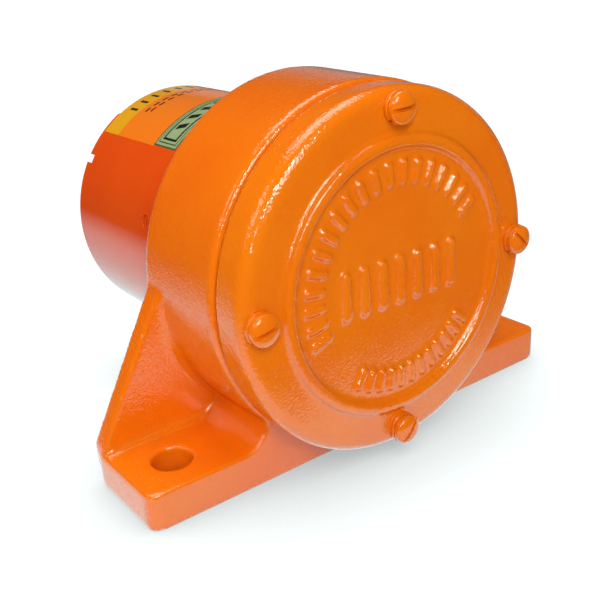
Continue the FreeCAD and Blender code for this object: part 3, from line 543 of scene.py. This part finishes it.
def coverBody():
    c = cover
    lift = c["front"] - c["beadHeight"]
    return turned([(0, c["front"]), (c["beadInner"], c["front"], c["beadRound"]),
                   (c["beadInner"] + c["beadSlope"], lift, c["beadRound"]),
                   (c["beadOuter"] - c["beadSlope"], lift, c["beadRound"]),
                   (c["beadOuter"], c["front"], c["beadRound"]),
                   (c["radius"], c["front"], c["edgeRound"]), (c["radius"], c["back"], c["backRound"]),
                   (c["spigot"], c["back"]), (c["spigot"], c["spigotY"], c["spigotRound"]),
                   (c["pocket"], c["spigotY"], c["spigotRound"]), (c["pocket"], c["floor"], c["pocketRound"]),
                   (c["boss"], c["floor"], c["pocketRound"]), (c["boss"], c["bossY"], c["bossRound"]),
                   (c["bore"], c["bossY"], c["boreRound"]), (c["bore"], c["floor"]), (0, c["floor"])])


def raisedBars():
    # plain short bars in two arcs, and a row of taller ones between them
    o = ornament
    sunk = cover["front"] + o["sunk"]
    half = o["width"] / 2
    wide, corner = half * o["flare"], half * o["cornerShare"]
    profile = [(-half, o["inner"], corner), (half, o["inner"], corner),
               (wide, o["outer"], corner), (-wide, o["outer"], corner)]
    bars = []
    for count, first, last in o["arcs"]:
        for index in range(count):
            angle = first + (last - first) * index / (count - 1)
            bars.append(extruded(profile, cover["front"] - o["height"], sunk, standing(angle), steps=4))
    half = o["rowWidth"] / 2
    for index in range(o["rowCount"]):
        middle = (index - (o["rowCount"] - 1) / 2) * o["rowPitch"]
        bars.append(block(middle - half, middle + half, -o["rowHalf"], o["rowHalf"],
                          cover["front"] - o["rowHeight"], sunk, standing(0), half * o["rowCornerShare"]))
    return bars


def makeCover():
    c = cover
    half = c["ribWidth"] / 2
    ribs = [block(-half, half, c["boss"] - lap, c["pocket"] + lap, c["floor"] - lap, c["ribY"],
                  standing(angle)) for angle in c["ribAngles"]]
    holes = [extruded(disc(c["screwHole"], c["holeSides"]), c["front"] - 3 * lap, c["back"] + lap,
                      standing(angle, c["screwCircle"])) for angle in c["screwAngles"]]
    piece = carved(link(coverBody(), "coverCasting"), [merged(raisedBars() + ribs, "raised")], "UNION")
    melted(piece, c["voxel"])
    carved(piece, [merged(holes, "holes")])
    melted(piece, c["voxel"], c["softening"])
    dressed(piece, enamelOnCover, "stator", "enamel", "front_cover")


makeCover()
print("cover cast")


screw = {"seat": -32.5, "radius": 5.15, "side": 1.5, "crown": 2.05, "domeSteps": 12, "seatRound": 0.5,
         "slotWidth": 1.25, "slotDepth": 1.45, "slotRound": 0.3, "slotAngles": (4.0, 12.0, 50.0, 135.0),
         "shank": 2.7, "end": -7.0, "endRound": 0.5, "segments": 64, "bevel": 0.16, "bevelAngle": 40.0,
         "sharpAngle": 50.0}


def screwProfile():
    # half the outline of a domed head on its shank
    s = screw
    top = s["seat"] - s["side"]
    dome = [(0, top - s["crown"])]
    for step in range(1, s["domeSteps"] + 1):
        lean = math.pi / 2 * step / s["domeSteps"]
        dome.append((s["radius"] * math.sin(lean), top - s["crown"] * math.cos(lean)))
    return dome + [(s["radius"], s["seat"], s["seatRound"]), (s["shank"], s["seat"]),
                   (s["shank"], s["end"], s["endRound"]), (0, s["end"])]


def makeCoverScrews():
    # slotted heads, painted over with the rest
    s = screw
    crown = s["seat"] - s["side"] - s["crown"]
    half, reach, floor = s["slotWidth"] / 2, s["radius"] + lap, crown + s["slotDepth"]
    for index, (angle, slotAngle) in enumerate(zip(cover["screwAngles"], s["slotAngles"])):
        centre = around(cover["screwCircle"], angle)
        head = link(turned(screwProfile(), s["segments"], (centre.x, centre.z)), f"coverScrew{index + 1}")
        across, out = spokes(slotAngle)
        slot = extruded([(-half, crown - lap), (half, crown - lap), (half, floor, s["slotRound"]),
                         (-half, floor, s["slotRound"])],
                        -reach, reach, placing(centre, out, yWay, across), steps=3)
        carved(head, [slot])
        edge = head.modifiers.new("edge", "BEVEL")
        edge.width = s["bevel"] * mm
        edge.segments = 2
        edge.limit_method = "ANGLE"
        edge.angle_limit = math.radians(s["bevelAngle"])
        smoothed(evaluated(head), s["sharpAngle"])
        dressed(head, enamelOnSteel, "stator", "enamel", "cover_screws")


washer = {"outer": 5.35, "inner": 3.15, "front": -32.5, "back": -31.0, "innerRound": 0.25,
          "outerRound": 0.35, "backRound": 0.2, "gap": 1.3, "gapAngle": 150.0, "gapSlant": 0.25,
          "segments": 72, "sharpAngle": 40.0}


def makeLockWashers():
    # split spring washers with their slanted gaps all to one side
    w = washer
    half, reach = w["gap"] / 2, w["outer"] + lap
    across, out = spokes(w["gapAngle"])
    for index, angle in enumerate(cover["screwAngles"]):
        centre = around(cover["screwCircle"], angle)
        ring = turned([(w["inner"], w["front"], w["innerRound"]), (w["outer"], w["front"], w["outerRound"]),
                       (w["outer"], w["back"], w["backRound"]), (w["inner"], w["back"], w["backRound"])],
                      w["segments"], (centre.x, centre.z), steps=3)
        piece = link(ring, f"lockWasher{index + 1}")
        slit = block(-half, half, 0, reach, w["front"] - lap, w["back"] + lap,
                     placing(centre, across, out + across * w["gapSlant"], yWay))
        carved(piece, [slit])
        smoothed(piece, w["sharpAngle"])
        dressed(piece, enamelOnSteel, "stator", "enamel", "lock_washers")


makeCoverScrews()
makeLockWashers()
print("cover screwed on")


can = {"radius": 48.5, "inner": 45.5, "front": 22.0, "rear": 107.0, "rearBore": 46.3, "step": 90.5,
       "rimRound": 0.5, "boreRound": 0.3, "notchWidth": 3.4, "notchDepth": 4.2,
       "notchAngles": (57.5, 147.5, 237.5, 327.5), "reliefAngle": 32.0, "reliefY": 105.4,
       "poleHole": 2.25, "poleSides": 32, "poleY": 51.225, "poleAngles": (75, 255),
       "cutterReach": 4.0, "sharpAngle": 30.0}


def makeCan():
    # a drawn tube with four notches and a shallow relief in its rear rim, and holes for two pole screws
    c = can
    piece = link(turned([(c["inner"], c["front"]), (c["radius"], c["front"]),
                         (c["radius"], c["rear"], c["rimRound"]), (c["rearBore"], c["rear"], c["boreRound"]),
                         (c["rearBore"], c["step"]), (c["inner"], c["step"])]), "motorCan")
    half = c["notchWidth"] / 2
    inside, outside, rear = c["inner"] - c["cutterReach"], c["radius"] + c["cutterReach"], c["rear"] + lap
    cuts = [block(-half, half, inside, outside, c["rear"] - c["notchDepth"], rear, standing(angle))
            for angle in c["notchAngles"]]
    lean = math.radians(c["reliefAngle"])
    wide, low = c["radius"] * math.sin(lean), c["radius"] * math.cos(lean)
    relief = block(-wide, wide, low, outside, c["reliefY"], rear, standing(0))
    for angle in c["poleAngles"]:
        across, out = spokes(angle)
        place = placing(Vector((0, c["poleY"], shaftHeight)), across, yWay, out)
        cuts.append(extruded(disc(c["poleHole"], c["poleSides"]), inside, outside, place))
    carved(piece, [merged(cuts, "cuts"), relief])
    smoothed(piece, c["sharpAngle"])
    dressed(piece, enamelOnTube, "stator", "enamel", "motor_can")


makeCan()
print("can drawn")


def plainPaint(name, code, rough):
    # printed or stoved colour with an even gloss
    material = newMaterial(name)
    shader = addNode(material, "ShaderNodeBsdfPrincipled",
                     {"Base Color": srgb(code), "Roughness": rough, "Coat Weight": 0.6,
                      "Coat Roughness": 0.06, "Specular IOR Level": 0.3})
    return finishMaterial(material, shader)


filmOrange = plainPaint("printedFilmOrange", "#F07A10", 0.3)  # polyester film printed near the paint's colour
filmYellow = plainPaint("printedFilmYellow", "#E3A312", 0.3)  # its warm yellow band
filmInk = plainPaint("filmInk", "#3A2408", 0.4)  # brown-black ink
plateEdge = plainPaint("platePaintGreen", "#3F5B30", 0.35)  # dark green on the aluminium nameplate
plateFace = plainPaint("platePaintSilverGreen", "#93A87C", 0.35)  # pale green with a dull metal look
plateInk = plainPaint("plateInk", "#15170F", 0.35)  # black lines

# degrees about the shaft: half, markFrom, markTo, markHalf, dash, dashPitch, dashShift, barPitch,
# barHalf and a sticker's step; barLean is degrees for each millimetre along the shaft
sticker = {"base": 0.05, "layer": 0.03, "sunk": 0.02, "step": 1.5, "sharpAngle": 30.0}
film = {"half": 43.0, "front": 64.8, "rear": 105.2, "bandFront": 93.6, "markFrom": 27.0, "markTo": -24.0,
        "markCount": 9, "markHalf": 0.8, "markFront": 96.0, "markRear": 101.6, "rules": (89.6, 86.6),
        "ruleHalf": 0.6, "dashCount": 10, "dash": 3.4, "dashPitch": 5.2, "dashShift": 1.1}
nameplate = {"half": 42.5, "front": 49.0, "rear": 64.6, "insets": (0.0, 0.7, 1.7, 2.2, 3.2, 4.2),
             "tints": (plateEdge, plateFace, plateEdge, plateFace, plateInk, plateFace),
             "barCount": 9, "barPitch": 7.2, "barHalf": 1.5, "barInset": 5.4, "barLean": 0.5}


def canPatch(low, high, front, rear, level, lean=0.0):
    # a thin closed patch on the can between two angles and two stations
    inside = can["radius"] - sticker["sunk"]
    outside = can["radius"] + sticker["base"] + sticker["layer"] * level
    steps = max(2, round(abs(high - low) / sticker["step"]))
    rows = []
    for step in range(steps + 1):
        angle = low + (high - low) * step / steps
        rows.append([around(radius, angle + lean * (y - front), y)
                     for radius, y in ((inside, front), (outside, front), (outside, rear), (inside, rear))])
    return skinned(rows, "patch")


def stuck(name, meshes, tint):
    piece = smoothed(link(merged(meshes, name), name), sticker["sharpAngle"])
    dressed(piece, tint, "stator", None)


def makeFilm():
    # an orange film with a yellow band, plain marks on the band and two dashed rules
    f = film
    stuck("printedFilm", [canPatch(-f["half"], f["half"], f["front"], f["rear"], 0)], filmOrange)
    stuck("filmYellowBand", [canPatch(-f["half"], f["half"], f["bandFront"], f["rear"], 1)], filmYellow)
    marks = []
    for index in range(f["markCount"]):
        middle = f["markFrom"] + (f["markTo"] - f["markFrom"]) * index / (f["markCount"] - 1)
        marks.append(canPatch(middle - f["markHalf"], middle + f["markHalf"], f["markFront"],
                              f["markRear"], 2))
    for row, y in enumerate(f["rules"]):
        for index in range(f["dashCount"]):
            start = f["markFrom"] - f["dashPitch"] * index - f["dashShift"] * row
            marks.append(canPatch(start - f["dash"], start, y - f["ruleHalf"], y + f["ruleHalf"], 1))
    stuck("filmMarks", marks, filmInk)


def makeNameplate():
    # a framed plate built up in layers that shrink, with a row of leaning bars on top
    n = nameplate
    for level, (inset, tint) in enumerate(zip(n["insets"], n["tints"])):
        half = n["half"] - math.degrees(inset / can["radius"])
        patch = canPatch(-half, half, n["front"] + inset, n["rear"] - inset, level)
        stuck(f"nameplateLayer{level + 1}", [patch], tint)
    bars = []
    for index in range(n["barCount"]):
        middle = (index - (n["barCount"] - 1) / 2) * n["barPitch"]
        bars.append(canPatch(middle - n["barHalf"], middle + n["barHalf"], n["front"] + n["barInset"],
                             n["rear"] - n["barInset"], len(n["insets"]), n["barLean"]))
    stuck("nameplateBars", bars, plateInk)


makeFilm()
makeNameplate()
print("labels stuck on")


cap = {"radius": 46.2, "front": 90.5, "rear": 97.5, "frontRound": 0.4, "rim": 40.25, "rimRound": 1.0,
       "web": 94.5, "webRound": 1.2, "boss": 13.5, "bossY": 101.5, "bossRound": 1.4, "bushBore": 8.55,
       "bushEnd": 99.5, "rib": 4.0, "ribY": 96.5, "ribCount": 6, "boltPad": 6.2, "inletPad": 10.3,
       "padSides": 48, "inletSides": 64, "boreSides": 48, "boltSides": 32, "segments": 192,
       "voxel": 0.6, "softening": 5}
bolt = {"circle": 33.0, "angles": (335.0, 155.0), "shank": 2.5, "hole": 2.9, "across": 7.9, "seat": 97.5,
        "head": 3.4, "chamfer": 1.0, "crownInset": 0.1, "crownRound": 0.2, "front": 17.0, "endRound": 0.5,
        "headSegments": 64, "shankSegments": 40, "sharpAngle": 30.0}
inlet = {"circle": 31.0, "angle": 225.0, "bore": 4.0, "boreRound": 0.6, "body": 6.6, "clearance": 0.05,
         "lip": 8.8, "lipRound": 0.8, "seatRound": 0.3, "front": 88.7, "rear": 99.3, "segments": 96,
         "sharpAngle": 50.0}


def makeEndCap():
    # a ribbed casting in the mouth of the can, with pads for its bolts and for the cord's inlet
    c = cap
    front, rear, half = c["front"] - lap, c["rear"] + lap, c["rib"] / 2
    boltSpots = [standing(angle, bolt["circle"]) for angle in bolt["angles"]]
    inletSpot = standing(inlet["angle"], inlet["circle"])
    shells = [turned([(0, c["front"]), (c["radius"], c["front"], c["frontRound"]),
                      (c["radius"], c["rear"], c["rimRound"]), (c["rim"], c["rear"], c["rimRound"]),
                      (c["rim"], c["web"], c["webRound"]), (c["boss"], c["web"], c["webRound"]),
                      (c["boss"], c["bossY"], c["bossRound"]), (0, c["bossY"])], c["segments"])]
    for index in range(c["ribCount"]):
        shells.append(block(-half, half, c["boss"] - lap, c["rim"] + lap, c["web"] - lap, c["ribY"],
                            standing(360 / c["ribCount"] * index)))
    pad = disc(c["boltPad"], c["padSides"])
    shells += [extruded(pad, c["front"] + lap, c["rear"], spot) for spot in boltSpots]
    pad = disc(c["inletPad"], c["inletSides"])
    shells.append(extruded(pad, c["front"] + lap, c["rear"], inletSpot))
    cuts = [extruded(disc(bolt["hole"], c["boltSides"]), front, rear, spot) for spot in boltSpots]
    cuts.append(extruded(disc(inlet["body"] + inlet["clearance"], c["boreSides"]), front, rear, inletSpot))
    cuts.append(extruded(disc(c["bushBore"], c["boreSides"]), front, c["bushEnd"], standing(0)))
    piece = melted(link(merged(shells, "endCap"), "endCapCasting"), c["voxel"])
    carved(piece, [merged(cuts, "cuts")])
    melted(piece, c["voxel"], c["softening"])
    dressed(piece, castAluminium, "stator", "grey_casting", "end_cap")


def makeThroughBolts():
    # long bolts with chamfered hexagon heads
    b = bolt
    corner, top, sunk = b["across"] / math.sqrt(3), b["seat"] + b["head"], b["seat"] - lap
    for index, angle in enumerate(b["angles"]):
        centre = around(b["circle"], angle)
        spot = (centre.x, centre.z)
        hexagon = disc(corner, segments=6)
        head = link(extruded(hexagon, b["seat"], top, standing(angle, b["circle"])),
                    f"throughBolt{index + 1}")
        chamfer = turned([(0, sunk), (corner + lap, sunk), (corner + lap, top - b["chamfer"]),
                          (b["across"] / 2 - b["crownInset"], top, b["crownRound"]), (0, top)],
                         b["headSegments"], spot, steps=3)
        carved(head, [chamfer], "INTERSECT")
        shank = turned([(0, b["front"]), (b["shank"], b["front"], b["endRound"]),
                        (b["shank"], b["seat"] + lap), (0, b["seat"] + lap)],
                       b["shankSegments"], spot, steps=3)
        carved(head, [shank], "UNION")
        smoothed(head, b["sharpAngle"])
        dressed(head, zincPlate, "stator", "zinc_steel", "through_bolts")


def makeCordInlet():
    # a grommet that grips the cap between its two lips
    i = inlet
    centre = around(i["circle"], i["angle"])
    ring = turned([(i["bore"], i["front"], i["boreRound"]), (i["lip"], i["front"], i["lipRound"]),
                   (i["lip"], cap["front"], i["seatRound"]), (i["body"], cap["front"]),
                   (i["body"], cap["rear"]), (i["lip"], cap["rear"], i["seatRound"]),
                   (i["lip"], i["rear"], i["lipRound"]), (i["bore"], i["rear"], i["boreRound"])],
                  i["segments"], (centre.x, centre.z), steps=5)
    piece = smoothed(link(ring, "cordInlet"), i["sharpAngle"])
    dressed(piece, blackRubber, "stator", "black_rubber", "cord_inlet")


makeEndCap()
makeThroughBolts()
makeCordInlet()
print("rear end closed")


# a brush's spring is (the solid it stands for, the brush's body, its side of the shaft)
spring = {"coil": 2.9, "wire": 0.4, "turns": 3.5, "y": 82.2, "foot": 28.12, "head": 41.72,
          "wireSides": 10, "turnSteps": 28,
          "brushes": (("brush_spring_top", "brush_top", 1), ("brush_spring_bottom", "brush_bottom", -1))}


def springRings(centre, side):
    # rings of points round the wire, from the brush outwards
    s = spring
    rise = s["head"] - s["foot"] - 2 * s["wire"]
    count = round(s["turns"] * s["turnSteps"])
    rings = []
    for step in range(count + 1):
        turn = 2 * math.pi * s["turns"] * step / count
        out = Vector((math.cos(turn), math.sin(turn), 0))
        height = s["foot"] + s["wire"] + rise * step / count
        ring = []
        for part in range(s["wireSides"]):
            lean = 2 * math.pi * part / s["wireSides"]
            reach = s["coil"] + s["wire"] * math.cos(lean)
            ring.append(centre + out * reach + zWay * side * (height + s["wire"] * math.sin(lean)))
        rings.append(ring)
    return rings


def makeBrushSprings():
    # each coil runs from its brush, at its inner end, out to the holder
    s = spring
    centre = Vector((0, s["y"], shaftHeight))
    for name, body, side in s["brushes"]:
        mesh = skinned(springRings(centre, side), name)
        mesh.materials.append(zincPlate)
        mesh.shade_smooth()
        piece = link(mesh, name.title().replace("_", ""))
        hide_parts(name)
        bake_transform(piece)


makeBrushSprings()
print("brush springs wound")


# sizes are in metres and power in watts, and a lamp rolls about its own beam
lampAim = (0, 0.02, 0.06)
lamps = {
    "keyLight": {"place": (-0.52, -0.76, 0.76), "size": (1.1, 0.04), "power": 6.6,
                 "tint": (0.97, 1.03, 0.85), "roll": 45.0},
    "frontLight": {"place": (-0.35, -1.25, 0.9), "size": (0.5, 0.5), "power": 5.6,
                   "tint": (0.96, 1.03, 0.95), "roll": 0.0},
    "sideLight": {"place": (-1.25, 0.35, 1.0), "size": (0.7, 0.5), "power": 4.6,
                  "tint": (1.0, 0.75, 0.66), "roll": 0.0},
    "topLight": {"place": (0.1, 0.5, 1.6), "size": (1.2, 1.2), "power": 15.0,
                 "tint": (0.96, 1.02, 0.95), "roll": 0.0},
}


def hangLamps():
    for name, lamp in lamps.items():
        data = bpy.data.lights.new(name, "AREA")
        data.shape = "RECTANGLE"
        data.size, data.size_y = lamp["size"]
        data.energy = lamp["power"]
        data.color = lamp["tint"]
        rig = bpy.data.objects.new(name, data)
        bpy.context.scene.collection.objects.link(rig)
        rig.location = lamp["place"]
        aim = (Vector(lampAim) - Vector(lamp["place"])).to_track_quat("-Z", "Y").to_matrix()
        rig.rotation_euler = (aim @ Matrix.Rotation(math.radians(lamp["roll"]), 3, "Z")).to_euler()


hangLamps()


def faded(material, spans):
    # several fades multiplied; each is (what is measured, from, to, level at from, level at to)
    level = None
    for measure, start, end, before, after in spans:
        fade = addNode(material, "ShaderNodeMapRange",
                       {"From Min": start, "From Max": end, "To Min": before, "To Max": after},
                       {"Value": measure}).outputs["Result"]
        if level is not None:
            fade = addNode(material, "ShaderNodeMath", {"operation": "MULTIPLY"},
                           {0: level, 1: fade}).outputs[0]
        level = fade
    return level


# in metres; each fade of what gloss mirrors paints light and shade on the sheet and is (from, to, level at
# from, level at to); the fades about the foot's holes are painted shade under them
# glow is the white's strength right beside the motor, where it is dimmed as painted contact shadow, and away
# from it, and then comes how far that painted shadow reaches; camera is the share of that white in what is
# seen directly
sheet = {"half": 12.0, "paint": "#D6D9D9", "left": (-0.26, -0.12, 0.0, 1.0), "right": (0.03, 0.12, 1.0, 0.35),
         "front": (-0.088, -0.072, 0.0, 1.0), "depth": (0.0, 0.6, 1.3, 0.25), "hole": (0.073, 0.004, 0.0),
         "holeShadeEdge": (0.009, 0.011, 0.0, 1.0), "dark": 0.02, "mirrored": (0.74, 0.92, 0.92, 1),
         "white": (0.95, 1, 1, 1), "glow": (0.42, 1.16), "shadowReach": 0.045, "camera": 0.93}


def paleTable():
    # a white sheet that gloss mirrors with painted light close by and painted shade further off and under the
    # foot's holes; the white seen directly dims a little where the motor stands close, as painted contact
    # shadow
    s = sheet
    material = newMaterial("paleTable")
    rays = addNode(material, "ShaderNodeLightPath")
    place = addNode(material, "ShaderNodeNewGeometry").outputs["Position"]
    axes = addNode(material, "ShaderNodeSeparateXYZ", links={0: place})
    folded = addNode(material, "ShaderNodeVectorMath", {"operation": "ABSOLUTE"}, {0: place})
    # the mirrored white carries painted light close by and painted shade further off and under the foot's
    # holes
    fromHole = addNode(material, "ShaderNodeVectorMath", {"operation": "DISTANCE", 1: s["hole"]},
                       {0: folded.outputs["Vector"]})
    level = faded(material, ((axes.outputs["X"], *s["left"]), (axes.outputs["X"], *s["right"]),
                             (axes.outputs["Y"], *s["front"]), (axes.outputs["Y"], *s["depth"]),
                             (fromHole.outputs["Value"], *s["holeShadeEdge"])))
    dim = addNode(material, "ShaderNodeMath", {"operation": "MAXIMUM", 1: s["dark"]}, {0: level})
    paint = addNode(material, "ShaderNodeBsdfDiffuse", {"Color": srgb(s["paint"])})
    # painted contact shadow: the white seen directly dims where ambient occlusion finds the motor close
    contactShadow = addNode(material, "ShaderNodeAmbientOcclusion", {"Distance": s["shadowReach"], "samples": 8})
    glow = addNode(material, "ShaderNodeMapRange", {"To Min": s["glow"][0], "To Max": s["glow"][1]},
                   {"Value": contactShadow.outputs["AO"]})
    white = addNode(material, "ShaderNodeEmission", {"Color": s["white"]},
                    {"Strength": glow.outputs["Result"]})
    mirrored = addNode(material, "ShaderNodeEmission", {"Color": s["mirrored"]}, {"Strength": dim.outputs[0]})
    seen = addNode(material, "ShaderNodeMath", {"operation": "MAXIMUM"},
                   {0: rays.outputs["Is Glossy Ray"], 1: rays.outputs["Is Transmission Ray"]})
    part = addNode(material, "ShaderNodeMath", {"operation": "MULTIPLY", 1: s["camera"]},
                   {0: rays.outputs["Is Camera Ray"]})
    direct = addNode(material, "ShaderNodeMixShader",
                     links={0: part.outputs[0], 1: paint.outputs[0], 2: white.outputs[0]})
    shade = addNode(material, "ShaderNodeMixShader",
                    links={0: seen.outputs[0], 1: direct.outputs[0], 2: mirrored.outputs[0]})
    return finishMaterial(material, shade)


def layFloor():
    half = sheet["half"]
    mesh = bpy.data.meshes.new("floor")
    mesh.from_pydata([(-half, -half, 0), (half, -half, 0), (half, half, 0), (-half, half, 0)], [],
                     [(0, 1, 2, 3)])
    mesh.materials.append(paleTable())
    floor = link(mesh, "floor")


layFloor()

# the fades run over the parts of a unit vector that points where a ray goes
air = {"room": (1, 0.87, 0.84, 1), "strength": 0.28, "dark": 0.02, "white": (1, 1, 1, 1),
       "sweep": {"X": (-0.1, 0.3, 0.0, 1.0), "Y": (0.0, 0.3, 0.0, 1.0), "Z": (0.2, 0.3, 0.32, 0.0)}}


def studioAir():
    # even air light; gloss mirrors a low white sweep behind the motor and a dark room elsewhere
    world = bpy.data.worlds.new("studioAir")
    bpy.context.scene.world = world
    world.use_nodes = True
    world.node_tree.nodes.clear()
    rays = addNode(world, "ShaderNodeLightPath")
    way = addNode(world, "ShaderNodeTexCoord")
    axes = addNode(world, "ShaderNodeSeparateXYZ", links={"Vector": way.outputs["Generated"]})
    sweep = faded(world, [(axes.outputs[axis], *span) for axis, span in air["sweep"].items()])
    dim = addNode(world, "ShaderNodeMath", {"operation": "MAXIMUM", 1: air["dark"]}, {0: sweep})
    room = addNode(world, "ShaderNodeBackground", {"Color": air["room"], "Strength": air["strength"]})
    mirrored = addNode(world, "ShaderNodeBackground", {"Color": air["white"]}, {"Strength": dim.outputs[0]})
    white = addNode(world, "ShaderNodeBackground", {"Color": air["white"], "Strength": 1.0})
    gloss = addNode(world, "ShaderNodeMixShader",
                    links={0: rays.outputs["Is Glossy Ray"], 1: room.outputs[0], 2: mirrored.outputs[0]})
    seen = addNode(world, "ShaderNodeMixShader",
                   links={0: rays.outputs["Is Camera Ray"], 1: gloss.outputs[0], 2: white.outputs[0]})
    addNode(world, "ShaderNodeOutputWorld", links={"Surface": seen.outputs[0]})


studioAir()
bpy.context.scene.view_settings.view_transform = "Standard"
print("studio lit")
